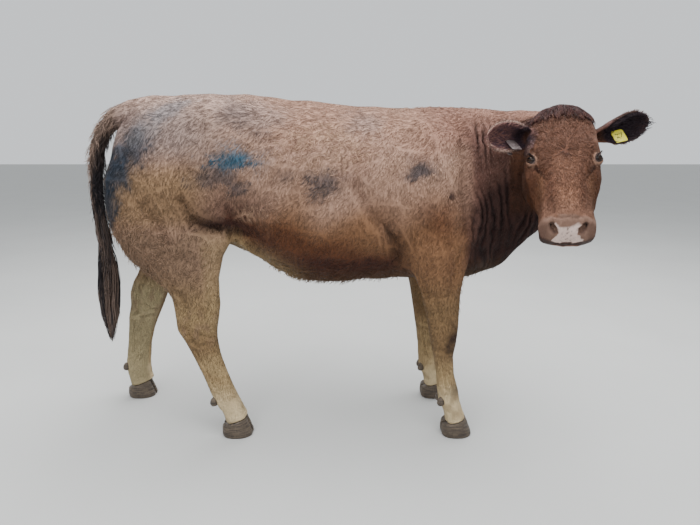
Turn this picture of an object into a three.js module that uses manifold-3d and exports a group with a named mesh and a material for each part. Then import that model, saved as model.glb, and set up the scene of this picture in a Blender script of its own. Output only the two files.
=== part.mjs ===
// A young beef cow standing still, its head turned to its right, at life size in millimetres.
// +X is the way the body faces, +Y is its left side, +Z is up, and the hooves stand on Z = 0.
// The sizes below are taken on the body's own middle plane (y = 0) with x = 0 just behind the tail.
// The last lines move the whole animal so that its origin is the middle of its footprint.
import * as THREE from "three";
import { mergeVertices } from "three/addons/utils/BufferGeometryUtils.js";
import Module from "manifold-3d";

// ---- driving sizes ----
const CUT = 0.4; // width of the thin cuts between parts
const EYE_RADIUS = 19;
const CORONET = 66; // height of the top of a hoof at the middle of the foot
const HOOF_SLOPE = 18; // degrees that the top of a hoof falls towards the heel
const RINGS = { trunk: 19, leg: 18, neck: 10, head: 28, ear: 8, tail: 18 }; // outlines to a loft
const SIDES = { trunk: 22, leg: 12, neck: 16, head: 28, ear: 5, tail: 8, eye: 12, rod: 8, claw: 10 }; // points to one

const wasm = await Module();
wasm.setup();

const skinMaterial = (colour) =>
  new THREE.MeshStandardMaterial({ color: colour, roughness: 0.85, metalness: 0 });
const MATERIALS = {
  coat: skinMaterial(0x8a5a3e),
  darkHair: skinMaterial(0x3a2a24),
  horn: new THREE.MeshStandardMaterial({ color: 0x3b3029, roughness: 0.6, metalness: 0 }),
  eye: new THREE.MeshStandardMaterial({ color: 0x0c0908, roughness: 0.1, metalness: 0 }),
  tag: new THREE.MeshStandardMaterial({ color: 0xe0cf2a, roughness: 0.45, metalness: 0 }),
};

// ---- shape helpers ----

// Rows of numbers made into `count` rows by a Catmull-Rom curve through them, evenly along the rows.
function smoothRows(rows, count) {
  const at = (i) => rows[Math.min(rows.length - 1, Math.max(0, i))];
  return Array.from({ length: count }, (_, k) => {
    const s = (k / (count - 1)) * (rows.length - 1);
    const i = Math.min(rows.length - 2, Math.floor(s));
    const f = s - i;
    const [a, b, c, d] = [at(i - 1), at(i), at(i + 1), at(i + 2)];
    return b.map((_, j) => {
      const [p, q, r, t] = [a[j], b[j], c[j], d[j]];
      return (
        q +
        0.5 * f * (r - p + f * (2 * p - 5 * q + 4 * r - t + f * (3 * (q - r) + t - p)))
      );
    });
  });
}

// A closed skin over rings of points, all with the same count, each end closed by a fan.
function loft(rings) {
  const n = rings[0].length;
  const middle = (ring) =>
    ring.reduce((sum, p) => sum.add(p), new THREE.Vector3()).divideScalar(n);
  const points = [...rings.flat(), middle(rings[0]), middle(rings[rings.length - 1])];
  const first = n * rings.length;
  const faces = [];
  for (let i = 0; i + 1 < rings.length; i++)
    for (let j = 0; j < n; j++) {
      const [a, b] = [i * n + j, i * n + ((j + 1) % n)];
      faces.push([a, b, b + n], [a, b + n, a + n]);
    }
  for (let j = 0; j < n; j++) {
    const k = (j + 1) % n;
    faces.push([first, k, j], [first + 1, first - n + j, first - n + k]);
  }
  const geometry = new THREE.BufferGeometry().setFromPoints(points);
  geometry.setIndex(faces.flat());
  return geometry;
}

// The six times volume of a closed geometry, negative where its faces point inwards.
function signedVolume(positions, triangles) {
  const point = (i) => new THREE.Vector3().fromArray(positions, 3 * i);
  let sum = 0;
  for (let i = 0; i < triangles.length; i += 3)
    sum += point(triangles[i]).dot(point(triangles[i + 1]).cross(point(triangles[i + 2])));
  return sum;
}

// A three.js geometry as a solid that can be cut and joined.
function solid(geometry) {
  const bare = new THREE.BufferGeometry().setAttribute("position", geometry.attributes.position);
  if (geometry.index) bare.setIndex(geometry.index);
  const merged = mergeVertices(bare, 1e-3);
  const vertProperties = new Float32Array(merged.attributes.position.array);
  const triVerts = new Uint32Array(merged.index.array);
  if (signedVolume(vertProperties, triVerts) < 0) triVerts.reverse();
  return new wasm.Manifold(new wasm.Mesh({ numProp: 3, vertProperties, triVerts }));
}

// A block centred on `centre`, turned by Euler angles in degrees, as a cutting solid.
function block(size, centre, turn = [0, 0, 0]) {
  const geometry = new THREE.BoxGeometry(...size);
  const angles = turn.map(THREE.MathUtils.degToRad);
  geometry.applyMatrix4(new THREE.Matrix4().makeRotationFromEuler(new THREE.Euler(...angles)));
  geometry.translate(...centre);
  return solid(geometry);
}

// Splits `body` by a block: [what is inside it, what is left outside it], a thin cut apart.
function partOff(body, size, centre, turn) {
  const grown = size.map((s) => s + 2 * CUT);
  return [
    body.intersect(block(size, centre, turn)),
    body.subtract(block(grown, centre, turn)),
  ];
}

// A point on a rounded box outline at `angle`: squareness 2 is an ellipse, more is squarer.
function roundedUnit(angle, squareness) {
  const bend = (v) => Math.sign(v) * Math.abs(v) ** (2 / squareness);
  return [bend(Math.cos(angle)), bend(Math.sin(angle))];
}

// An upright outline with its own top, bottom and height of greatest width, as [across, up] pairs.
function eggOutline(count, top, bottom, widest, halfWidth, squareTop, squareBottom) {
  return Array.from({ length: count }, (_, j) => {
    const angle = (2 * Math.PI * j) / count;
    const upper = Math.sin(angle) >= 0;
    const [across, up] = roundedUnit(angle, upper ? squareTop : squareBottom);
    return [halfWidth * across, widest + up * (upper ? top - widest : widest - bottom)];
  });
}

// ---- trunk: upright outlines along X ----
const TRUNK_ROWS = [
  // x, top, bottom, height of greatest width, half width, squareness above, below
  [98, 1165, 1010, 1085, 60, 2.0, 2.0],
  [132, 1228, 940, 1105, 128, 2.1, 2.0],
  [205, 1292, 870, 1130, 178, 2.3, 2.0],
  [315, 1322, 805, 1140, 212, 2.5, 2.0],
  [440, 1331, 760, 1130, 232, 2.6, 2.0],
  [565, 1330, 728, 1110, 243, 2.7, 2.0],
  [690, 1320, 655, 1015, 264, 2.5, 2.1],
  [810, 1311, 604, 950, 290, 2.3, 2.2],
  [930, 1299, 598, 925, 300, 2.2, 2.2],
  [1060, 1290, 608, 925, 290, 2.1, 2.2],
  [1200, 1284, 610, 930, 262, 2.0, 2.1],
  [1340, 1287, 606, 940, 228, 1.9, 2.0],
  [1450, 1287, 600, 950, 202, 1.8, 1.9],
  [1530, 1278, 630, 955, 184, 1.8, 1.9],
  [1585, 1240, 690, 960, 132, 1.9, 2.0],
];

function trunkSolid() {
  const rings = smoothRows(TRUNK_ROWS, RINGS.trunk).map(([x, ...outline]) =>
    eggOutline(SIDES.trunk, ...outline).map(([y, z]) => new THREE.Vector3(x, y, z)),
  );
  return solid(loft(rings));
}

// ---- legs: level outlines from the top down ----
// Each row: height, front x, back x, middle distance from the middle plane, half width, squareness.
const HIND_TOP_ROWS = [
  [1225, 470, 218, 95, 60, 2.0],
  [1150, 560, 138, 112, 96, 2.0],
  [1060, 612, 88, 122, 118, 2.1],
  [970, 628, 74, 128, 122, 2.2],
  [890, 618, 78, 132, 116, 2.2],
];
const HIND_RIGHT_ROWS = [
  ...HIND_TOP_ROWS,
  [815, 582, 102, 138, 108, 2.2],
  [745, 536, 134, 146, 94, 2.1],
  [680, 518, 200, 154, 78, 2.1],
  [615, 512, 278, 160, 64, 2.1],
  [555, 508, 326, 164, 54, 2.2],
  [495, 500, 326, 166, 48, 2.4],
  [450, 490, 328, 167, 47, 2.5],
  [410, 486, 352, 168, 44, 2.5],
  [365, 492, 371, 168, 39, 2.4],
  [310, 504, 395, 168, 34, 2.4],
  [250, 524, 420, 168, 33, 2.4],
  [195, 542, 440, 168, 38, 2.4],
  [155, 560, 452, 168, 44, 2.4],
  [118, 572, 476, 168, 41, 2.3],
  [86, 590, 498, 168, 46, 2.3],
  [50, 604, 504, 168, 50, 2.3],
  [18, 604, 508, 168, 48, 2.3],
];
const HIND_LEFT_ROWS = [
  ...HIND_TOP_ROWS,
  [815, 560, 96, 138, 108, 2.2],
  [745, 470, 112, 146, 94, 2.1],
  [680, 372, 104, 154, 78, 2.1],
  [615, 272, 62, 160, 64, 2.1],
  [555, 214, 34, 164, 54, 2.2],
  [495, 184, 12, 166, 48, 2.4],
  [450, 164, 13, 167, 47, 2.5],
  [410, 146, 0, 168, 44, 2.5],
  [365, 126, -8, 168, 39, 2.4],
  [310, 104, -13, 168, 34, 2.4],
  [250, 89, -22, 168, 33, 2.4],
  [195, 82, -30, 168, 38, 2.4],
  [155, 76, -38, 168, 44, 2.4],
  [118, 74, -34, 168, 41, 2.3],
  [86, 84, -24, 168, 46, 2.3],
  [50, 94, -18, 168, 50, 2.3],
  [18, 94, -14, 168, 48, 2.3],
];
const FORE_ROWS = [
  [1262, 1440, 1330, 52, 34, 2.0],
  [1200, 1468, 1292, 88, 56, 2.0],
  [1110, 1500, 1248, 120, 74, 2.1],
  [1010, 1526, 1210, 138, 88, 2.1],
  [920, 1532, 1184, 148, 91, 2.2],
  [835, 1504, 1180, 152, 88, 2.2],
  [765, 1468, 1188, 156, 84, 2.2],
  [700, 1446, 1212, 160, 80, 2.2],
  [640, 1437, 1240, 162, 68, 2.2],
  [575, 1428, 1270, 164, 58, 2.2],
  [510, 1422, 1288, 165, 51, 2.3],
  [455, 1422, 1300, 166, 50, 2.5],
  [410, 1420, 1308, 166, 50, 2.6],
  [365, 1409, 1320, 166, 42, 2.5],
  [310, 1407, 1329, 166, 34, 2.4],
  [250, 1415, 1340, 166, 33, 2.4],
  [195, 1430, 1345, 166, 40, 2.4],
  [155, 1437, 1350, 166, 45, 2.4],
  [118, 1444, 1366, 166, 41, 2.3],
  [86, 1462, 1380, 166, 47, 2.3],
  [50, 1474, 1384, 166, 52, 2.3],
  [18, 1474, 1388, 166, 50, 2.3],
];
// The left foreleg stands a little further back, more so towards the ground.
const LEFT_FORE_BACK = 10;
const LEFT_FORE_LEAN = 0.04;
const FORE_LEFT_ROWS = FORE_ROWS.map(([z, front, back, ...rest]) => {
  const shift = z < 760 ? LEFT_FORE_BACK + LEFT_FORE_LEAN * (760 - z) : 0;
  return [z, front - shift, back - shift, ...rest];
});

// side is -1 for the right of the body and 1 for the left.
function legSolid(rows, side) {
  const rings = smoothRows(rows, RINGS.leg).map(([z, front, back, middle, halfWidth, square]) =>
    Array.from({ length: SIDES.leg }, (_, j) => {
      const [along, across] = roundedUnit((2 * Math.PI * j) / SIDES.leg, square);
      const x = (front + back) / 2 + (along * (front - back)) / 2;
      return new THREE.Vector3(x, side * (middle + halfWidth * across), z);
    }),
  );
  return solid(loft(rings));
}

// ---- neck: outlines square to a path that bends to the animal's right ----
const NECK_ROWS = [
  // path x, y, top, bottom, half width
  [1370, 0, 1286, 612, 196],
  [1460, 0, 1286, 596, 186],
  [1545, -4, 1281, 622, 168],
  [1618, -24, 1276, 664, 148],
  [1680, -66, 1270, 750, 132],
  [1728, -124, 1262, 834, 122],
  [1752, -184, 1246, 886, 115],
  [1754, -240, 1215, 915, 98],
];

function neckSolid() {
  const rows = smoothRows(NECK_ROWS, RINGS.neck);
  const rings = rows.map(([x, y, top, bottom, halfWidth], i) => {
    const before = rows[Math.max(0, i - 1)];
    const after = rows[Math.min(rows.length - 1, i + 1)];
    const ahead = new THREE.Vector2(after[0] - before[0], after[1] - before[1]).normalize();
    const widest = bottom + 0.56 * (top - bottom);
    return eggOutline(SIDES.neck, top, bottom, widest, halfWidth, 1.9, 1.65).map(
      ([across, z]) => new THREE.Vector3(x - ahead.y * across, y + ahead.x * across, z),
    );
  });
  return solid(loft(rings));
}

// ---- head, in a frame of its own ----
// t runs down the face from the poll, s to the animal's right, u out of the forehead.
const HEAD_TURN = 15; // degrees that the face looks off the -Y direction, towards -X
const HEAD_TILT = 41; // degrees that the face slopes from upright
const HEAD_ROLL = 2; // degrees that the head leans to its right
const EYE_LINE = 165; // t of the eyes
const EYES_MIDDLE = new THREE.Vector3(1692, -365, 1112); // on the forehead, between the eyes
const EYE_SIDE = 97;
const EYE_DEPTH = -37;

function headFrame() {
  const [turn, tilt, roll] = [HEAD_TURN, HEAD_TILT, HEAD_ROLL].map(THREE.MathUtils.degToRad);
  const ahead = new THREE.Vector3(-Math.sin(turn), -Math.cos(turn), 0);
  const up = new THREE.Vector3(0, 0, 1).applyAxisAngle(ahead, roll);
  const t = ahead.clone().multiplyScalar(Math.sin(tilt)).addScaledVector(up, -Math.cos(tilt));
  const u = ahead.clone().multiplyScalar(Math.cos(tilt)).addScaledVector(up, Math.sin(tilt));
  const s = t.clone().cross(u);
  const origin = EYES_MIDDLE.clone().addScaledVector(t, -EYE_LINE);
  return new THREE.Matrix4().makeBasis(t, s, u).setPosition(origin);
}
const HEAD = headFrame();
const headPoint = (t, s, u) => new THREE.Vector3(t, s, u).applyMatrix4(HEAD);

const HEAD_ROWS = [
  // t, face height u, throat height u, u of greatest width, half width, squareness of face, of throat
  [-74, -62, -124, -96, 34, 2.0, 2.0],
  [-60, -24, -165, -90, 70, 2.2, 2.0],
  [-24, -2, -196, -80, 98, 2.6, 2.0],
  [30, 6, -216, -76, 112, 2.9, 2.1],
  [85, 5, -234, -76, 117, 3.0, 2.2],
  [135, 3, -244, -84, 120, 2.9, 2.4],
  [180, 1, -240, -112, 122, 2.6, 2.5],
  [225, 2, -220, -124, 118, 2.3, 2.4],
  [270, 4, -190, -112, 107, 2.2, 2.3],
  [312, 3, -160, -92, 93, 2.3, 2.3],
  [348, 0, -140, -76, 84, 2.5, 2.4],
  [380, -4, -133, -68, 81, 2.7, 2.6],
  [405, -11, -131, -68, 82, 2.8, 2.8],
  [426, -25, -129, -74, 81, 2.8, 2.8],
  [441, -46, -122, -82, 74, 2.6, 2.6],
  [449, -66, -106, -86, 50, 2.4, 2.4],
];
// Rounded swellings and hollows: centre t, s, u, reach, and how far they push out of the head's middle.
const HEAD_SWELLINGS = [
  [130, 96, -8, 34, 8], // brow over the eye
  [205, 96, -62, 34, 5], // cheek crest under the eye
  [165, 118, -40, 24, -8], // eye socket
  [150, 100, -175, 62, 7], // jaw muscle
  [290, 84, -40, 44, -7], // hollow beside the nose
  [415, 62, -36, 20, 5], // nostril wing
  [-20, 0, 0, 60, 12], // poll
];

const NOSTRIL = { size: [17, 9, 15], centre: [433, 38, -39], turn: -0.5 }; // an oval hollow
const MOUTH = { size: [36, 132, 3], centre: [446, 0, -101] }; // a slit between the lips

// The nostrils and the slit of the mouth, as solids to cut from the head.
function headHollows() {
  const slit = new THREE.BoxGeometry(...MOUTH.size).translate(...MOUTH.centre);
  const nostril = (side) => {
    const [t, s, u] = NOSTRIL.centre;
    const oval = new THREE.SphereGeometry(1, 8, 6).scale(...NOSTRIL.size);
    return oval.rotateX(side * NOSTRIL.turn).translate(t, side * s, u);
  };
  return [slit, nostril(-1), nostril(1)].map((g) => solid(g.applyMatrix4(HEAD)));
}

function headSolid() {
  const rings = smoothRows(HEAD_ROWS, RINGS.head).map(([t, top, bottom, widest, halfWidth, face, throat]) =>
    eggOutline(SIDES.head, top, bottom, widest, halfWidth, face, throat).map(([s, u]) => {
      const point = new THREE.Vector3(t, s, u);
      const out = new THREE.Vector3(0, s, u - widest).normalize();
      for (const [st, ss, su, reach, push] of HEAD_SWELLINGS) {
        const distance = new THREE.Vector3(st, ss * Math.sign(s || 1), su).distanceTo(point);
        point.addScaledVector(out, push * Math.exp(-((distance / reach) ** 2)));
      }
      return point.applyMatrix4(HEAD);
    }),
  );
  return solid(loft(rings));
}

// ---- ears: cupped leaves, nearly a tube at the root and open towards the tip ----
const EAR_ROWS = [
  // distance along the ear, half width, half opening of the cup in degrees, thickness
  [-34, 28, 150, 12],
  [8, 34, 118, 12],
  [45, 47, 88, 11],
  [88, 58, 74, 10],
  [128, 56, 66, 9],
  [160, 42, 60, 8],
  [180, 22, 58, 7],
  [187, 8, 58, 6],
];

// The frame of an ear: x along it, y across it and z out of its open side.
function earFrame({ root, along, open }) {
  const x = new THREE.Vector3(...along).normalize();
  const y = new THREE.Vector3(...open).cross(x).normalize();
  return new THREE.Matrix4().makeBasis(x, y, x.clone().cross(y)).setPosition(...root);
}

// Radius of the outside of the cup at a row of EAR_ROWS.
function cupRadius(halfWidth, opening) {
  return halfWidth / Math.sin(THREE.MathUtils.degToRad(Math.min(opening, 90)));
}

function earSolid(ear) {
  const frame = earFrame(ear);
  const rings = smoothRows(EAR_ROWS, RINGS.ear).map(([x, halfWidth, opening, thickness]) => {
    const half = THREE.MathUtils.degToRad(opening);
    const outer = cupRadius(halfWidth, opening);
    const arc = (radius, way) =>
      Array.from({ length: SIDES.ear + 1 }, (_, k) => {
        const angle = way * half * ((2 * k) / SIDES.ear - 1);
        const depth = 0.4 * outer - radius * Math.cos(angle);
        return new THREE.Vector3(x, radius * Math.sin(angle), depth).applyMatrix4(frame);
      });
    return [...arc(outer, 1), ...arc(outer - thickness, -1)];
  });
  return solid(loft(rings));
}

// ---- ear tags: a plate inside the cup, a button behind it and a pin through the ear ----
const TAG = { plate: 44, thickness: 2.4, standOff: 16, button: 12, pin: 3, pinGap: 0.4 };

// A level disc, or a round pin, standing along z between two heights.
function rod(radius, from, to) {
  const geometry = new THREE.CylinderGeometry(radius, radius, to - from, SIDES.rod);
  return geometry.rotateX(Math.PI / 2).translate(0, 0, (from + to) / 2);
}

// The pin's frame: z points into the cup from its outside, at `angle` degrees round from its floor.
function tagFrame(ear, { x, angle, radius }) {
  const turn = THREE.MathUtils.degToRad(angle);
  const place = new THREE.Vector3(x, Math.sin(turn) * radius, 0.4 * radius - Math.cos(turn) * radius);
  const tilt = new THREE.Matrix4().makeRotationX(turn).setPosition(place);
  return earFrame(ear).multiply(tilt);
}

function tagSolid(frame) {
  const plate = new THREE.BoxGeometry(TAG.plate, TAG.plate * 1.15, TAG.thickness);
  plate.translate(0, 0, 11 + TAG.standOff);
  const pieces = [plate, rod(TAG.pin, -8, 11 + TAG.standOff), rod(TAG.button, -9, -6)];
  return pieces.map((g) => solid(g.applyMatrix4(frame))).reduce((a, b) => a.add(b));
}

// ---- tail: a raised dock that bends down, then the long hair of the switch ----
const TAIL_ROWS = [
  // x, z, half thickness
  [420, 1280, 44],
  [310, 1290, 44],
  [225, 1291, 44],
  [140, 1266, 43],
  [62, 1216, 41],
  [20, 1145, 34],
  [4, 1060, 30],
  [-5, 960, 25],
  [-4, 880, 23],
  [4, 800, 27],
  [10, 715, 33],
  [8, 620, 40],
  [0, 520, 40],
  [-4, 425, 29],
  [-9, 355, 15],
  [-12, 320, 6],
];
const TAIL_WIDTH = 0.86; // width across the body for its thickness
const TAIL_ROOT = { size: [500, 400, 400], centre: [420, 0, 1189], turn: [0, 40.5, 0] };
const SWITCH_TOP = 850; // height where the long hair starts

function tailSolid() {
  const rows = smoothRows(TAIL_ROWS, RINGS.tail);
  const rings = rows.map(([x, z, half], i) => {
    const before = rows[Math.max(0, i - 1)];
    const after = rows[Math.min(rows.length - 1, i + 1)];
    const along = new THREE.Vector2(after[0] - before[0], after[1] - before[1]).normalize();
    return Array.from({ length: SIDES.tail }, (_, j) => {
      const angle = (2 * Math.PI * j) / SIDES.tail;
      const [out, side] = [half * Math.sin(angle), half * TAIL_WIDTH * Math.cos(angle)];
      return new THREE.Vector3(x - along.y * out, side, z + along.x * out);
    });
  });
  return solid(loft(rings));
}

// ---- hooves: two claws and two dewclaws to a foot ----
const CLAW_ROWS = [
  // height, front past the back, back, width
  [0, 116, 0, 49],
  [10, 115, -3, 50],
  [45, 103, -2, 49],
  [100, 82, 10, 44],
];
const CLAW_GAP = 5; // between the two claws of a foot
const DEWCLAW = { radius: 14, height: 148, apart: 23, sunk: 12 };

// A claw flat on the ground, its back at x and its inner wall on the plane y, on the given side of it.
function clawSolid(x, y, outwards) {
  const rings = CLAW_ROWS.map(([z, front, back, width]) =>
    Array.from({ length: SIDES.claw }, (_, j) => {
      const [along, across] = roundedUnit((2 * Math.PI * j) / SIDES.claw, 2.6);
      const toe = 1 - 0.28 * Math.max(0, along) ** 2;
      const outer = across < 0 ? 0.12 + 0.12 * across : 0.12 + 0.88 * across * toe;
      return new THREE.Vector3(
        x + (front + back) / 2 + (along * (front - back)) / 2,
        y + outwards * width * outer,
        z,
      );
    }),
  );
  return solid(loft(rings));
}

function dewclawSolid(x, y, radius) {
  const geometry = new THREE.SphereGeometry(radius, 6, 4);
  geometry.scale(1.1, 0.85, 1.4);
  return solid(geometry.translate(x, y, DEWCLAW.height));
}

// ---- the animal put together, then parted ----
const cow = new THREE.Group();

function add(name, shape, material) {
  const { vertProperties, triVerts } = shape.getMesh();
  const geometry = new THREE.BufferGeometry();
  geometry.setAttribute("position", new THREE.BufferAttribute(vertProperties, 3));
  geometry.setIndex(new THREE.BufferAttribute(triVerts, 1));
  const mesh = new THREE.Mesh(geometry, MATERIALS[material]);
  mesh.name = name;
  cow.add(mesh);
}

// Each ear: where it leaves the head, the way it points, the way its cup opens, how far along it is
// parted from the head, and where its tag is pinned.
// Each leg: its outlines, its side, x of the back of its claws and the block that parts it.
const FORE_CUT = { size: [352, 300, 830], centre: [1316, 226, 350], turn: [0, 0, 0] };
const HIND_CUT = { size: [860, 400, 960], centre: [212, 226, 400], turn: [0, -8, 0] };
const LEGS = {
  foreleg_right: { rows: FORE_ROWS, side: -1, claws: 1372, cut: FORE_CUT },
  foreleg_left: { rows: FORE_LEFT_ROWS, side: 1, claws: 1333, cut: FORE_CUT },
  hindleg_right: { rows: HIND_RIGHT_ROWS, side: -1, claws: 492, cut: HIND_CUT },
  hindleg_left: { rows: HIND_LEFT_ROWS, side: 1, claws: -26, cut: HIND_CUT },
};
const EARS = {
  ear_right: {
    root: [1624, -214, 1164],
    along: [-136, -70, 4],
    open: [-0.3, -0.95, -0.2],
    free: 32,
    tag: { x: 72, angle: 70, radius: 54 },
  },
  ear_left: {
    root: [1868, -212, 1174],
    along: [180, 15, 43],
    open: [-0.1, -1, -0.3],
    free: 16,
    tag: { x: 70, angle: -52, radius: 54.5 },
  },
};
const NECK_CUT = { size: [600, 900, 1200], centre: [1838, 0, 1010], turn: [0, 16, 0] };
const HEAD_CUT = { size: [410, 700, 760], centre: [1689, -531, 1060], turn: [0, 0, -15] };

const [tailRoot, tail] = partOff(tailSolid(), ...Object.values(TAIL_ROOT));
let flesh = [trunkSolid(), neckSolid(), headSolid(), tailRoot].reduce((a, b) => a.add(b));
for (const { rows, side } of Object.values(LEGS)) flesh = flesh.add(legSolid(rows, side));

for (const hollow of headHollows()) flesh = flesh.subtract(hollow);

const [tailSwitch, tailDock] = partOff(tail, [400, 400, 800], [0, 0, SWITCH_TOP - 400]);
add("tail_dock", tailDock, "coat");
add("tail_switch", tailSwitch, "darkHair");

for (const [name, ear] of Object.entries(EARS)) {
  const { x, y, z } = new THREE.Vector3(ear.free - 100, 0, 0).applyMatrix4(earFrame(ear));
  const turn = new THREE.Euler().setFromRotationMatrix(earFrame(ear));
  const degrees = [turn.x, turn.y, turn.z].map(THREE.MathUtils.radToDeg);
  const [stub, leaf] = partOff(earSolid(ear), [200, 300, 300], [x, y, z], degrees);
  const pin = tagFrame(ear, ear.tag);
  const hole = rod(TAG.pin + TAG.pinGap, -20, 30).applyMatrix4(pin);
  flesh = flesh.add(stub);
  add(name, leaf.subtract(solid(hole)), "coat");
  add(name.replace("ear", "ear_tag"), tagSolid(pin), "tag");
}

for (const [name, side] of Object.entries({ eye_right: 1, eye_left: -1 })) {
  const middle = headPoint(EYE_LINE, side * EYE_SIDE, EYE_DEPTH);
  const ball = (radius) =>
    solid(new THREE.SphereGeometry(radius, SIDES.eye, SIDES.eye * 0.75).translate(...middle));
  add(name, ball(EYE_RADIUS), "eye");
  flesh = flesh.subtract(ball(EYE_RADIUS + CUT));
}

for (const [name, { rows, side, claws, cut }] of Object.entries(LEGS)) {
  const middle = side * rows[rows.length - 1][3];
  const ground = [400, 300, 400];
  const tilt = [0, -HOOF_SLOPE, 0];
  const crown = [claws + 58, middle, CORONET - 200 / Math.cos(THREE.MathUtils.degToRad(HOOF_SLOPE))];
  const [hoofRoom, leg] = partOff(flesh, ground, crown, tilt);
  flesh = leg;
  for (const [label, way] of [["inner", -side], ["outer", side]]) {
    const claw = clawSolid(claws, middle + (way * CLAW_GAP) / 2, way);
    add(`${name}_claw_${label}`, claw.intersect(block(ground, crown, tilt)), "horn");
    const heel = rows.find(([z]) => z <= 155)[2];
    const place = [heel + DEWCLAW.sunk, middle + way * DEWCLAW.apart];
    flesh = flesh.subtract(dewclawSolid(...place, DEWCLAW.radius + CUT));
    add(`${name}_dewclaw_${label}`, dewclawSolid(...place, DEWCLAW.radius), "horn");
  }
}

for (const [name, { side, cut }] of Object.entries(LEGS)) {
  const [x, y, z] = cut.centre;
  const [leg, rest] = partOff(flesh, cut.size, [x, side * y, z], cut.turn);
  add(name, leg, "coat");
  flesh = rest;
}
const [head, body] = partOff(flesh, ...Object.values(HEAD_CUT));
const [neck, trunk] = partOff(body, ...Object.values(NECK_CUT));
add("head", head, "coat");
add("neck", neck, "coat");
add("trunk", trunk, "coat");

const bounds = new THREE.Box3().setFromObject(cow);
const centre = bounds.getCenter(new THREE.Vector3());
cow.position.set(-centre.x, -centre.y, -bounds.min.z);
export default cow;
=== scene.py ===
import math
from types import SimpleNamespace

import bmesh
import bpy
import numpy as np
from mathutils import Matrix, Vector


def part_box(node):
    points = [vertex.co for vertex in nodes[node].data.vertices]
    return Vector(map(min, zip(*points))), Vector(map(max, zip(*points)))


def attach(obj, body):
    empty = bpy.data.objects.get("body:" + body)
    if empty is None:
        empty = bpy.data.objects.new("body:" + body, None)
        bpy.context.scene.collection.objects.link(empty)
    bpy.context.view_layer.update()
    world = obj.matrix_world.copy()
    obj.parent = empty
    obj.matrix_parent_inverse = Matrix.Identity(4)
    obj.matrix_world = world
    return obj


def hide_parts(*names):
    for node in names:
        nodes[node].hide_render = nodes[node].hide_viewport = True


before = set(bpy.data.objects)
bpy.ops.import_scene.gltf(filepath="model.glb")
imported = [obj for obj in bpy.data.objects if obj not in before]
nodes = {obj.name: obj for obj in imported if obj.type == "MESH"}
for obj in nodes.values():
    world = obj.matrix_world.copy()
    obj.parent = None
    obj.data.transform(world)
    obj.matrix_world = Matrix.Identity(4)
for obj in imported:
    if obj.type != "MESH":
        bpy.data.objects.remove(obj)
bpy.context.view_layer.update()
random = np.random.default_rng(11)

# ---- the animal's own frame: x = 0 just behind the tail, y = 0 on the middle of the trunk ----
TRUNK_LOW, TRUNK_HIGH = (np.array(corner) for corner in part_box("trunk"))
TRUNK_BACK = 0.0748  # x of the rearmost point of the trunk
SHIFT = np.array([TRUNK_LOW[0] - TRUNK_BACK, (TRUNK_LOW[1] + TRUNK_HIGH[1]) / 2, 0.0])

# The head's frame: t runs down the face from the poll, s to the animal's right, u out of the forehead.
HEAD_TURN, HEAD_TILT, HEAD_ROLL = (math.radians(angle) for angle in (15, 41, 2))
BETWEEN_EYES = np.array([1.692, -0.365, 1.112])
EYE_T, EYE_S, EYE_U = 0.165, 0.097, -0.037
EYE_RADIUS = 0.019

# Each ear: where it leaves the head, the way it points and the way its cup opens.
EARS = {
    "right": {"root": (1.624, -0.214, 1.164), "along": (-136, -70, 4), "open": (-0.3, -0.95, -0.2)},
    "left": {"root": (1.868, -0.212, 1.174), "along": (180, 15, 43), "open": (-0.1, -1, -0.3)},
}
CUP_AXIS = 0.4  # how far the middle of a cup's roundness lies over the ear's line, as a share of the radius
# Along the ear, half width, half opening of its cup in degrees.
EAR_ROWS = np.array([
    (-0.034, 0.028, 150), (0.008, 0.034, 118), (0.045, 0.047, 88), (0.088, 0.058, 74),
    (0.128, 0.056, 66), (0.160, 0.042, 60), (0.180, 0.022, 58), (0.187, 0.008, 58),
])

# The line of the tail, x and z, down to where its bones end.
TAIL_LINE = np.array([
    (0.31, 1.290), (0.225, 1.291), (0.14, 1.266), (0.062, 1.216), (0.02, 1.145), (0.004, 1.06),
    (-0.005, 0.96), (-0.004, 0.88), (0.004, 0.8), (0.01, 0.715), (0.008, 0.62), (0.0, 0.52),
    (-0.004, 0.425), (-0.009, 0.355),
])


# ---- numbers ----
def unit(vectors):
    """Vectors of length one."""
    return vectors / np.maximum(np.linalg.norm(vectors, axis=-1, keepdims=True), 1e-12)


def smoothstep(low, high, x):
    """0 below low, 1 above high, and an even S between them."""
    f = np.clip((x - low) / (high - low), 0, 1)
    return f * f * (3 - 2 * f)


def hill(x, middle, reach):
    """A bell of height 1 at the middle."""
    return np.exp(-(((x - middle) / reach) ** 2))


def ring_angles(sides):
    """Angles evenly round a ring."""
    return np.linspace(0, 2 * math.pi, sides, endpoint=False)


def mix(a, b, share):
    """a where the share is 0, b where it is 1. Shares of points mix their colours too."""
    share = np.asarray(share)
    colours = any(np.shape(v)[-1:] == (3,) for v in (a, b)) and share.shape[-1:] != (3,)
    if share.ndim and colours:
        share = share[..., None]
    return a + (b - a) * share


def waves(points, size, seed, count=7):
    """A smooth random field of spread 1: plane waves of about that length, added up, in random directions."""
    own = np.random.default_rng(seed)
    ways = unit(own.normal(size=(count, points.shape[1]))) * (2 * math.pi / size)
    ways *= own.uniform(0.6, 1.5, (count, 1))
    return np.sin(points @ ways.T + own.uniform(0, 2 * math.pi, count)).sum(1) * math.sqrt(2 / count)


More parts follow.
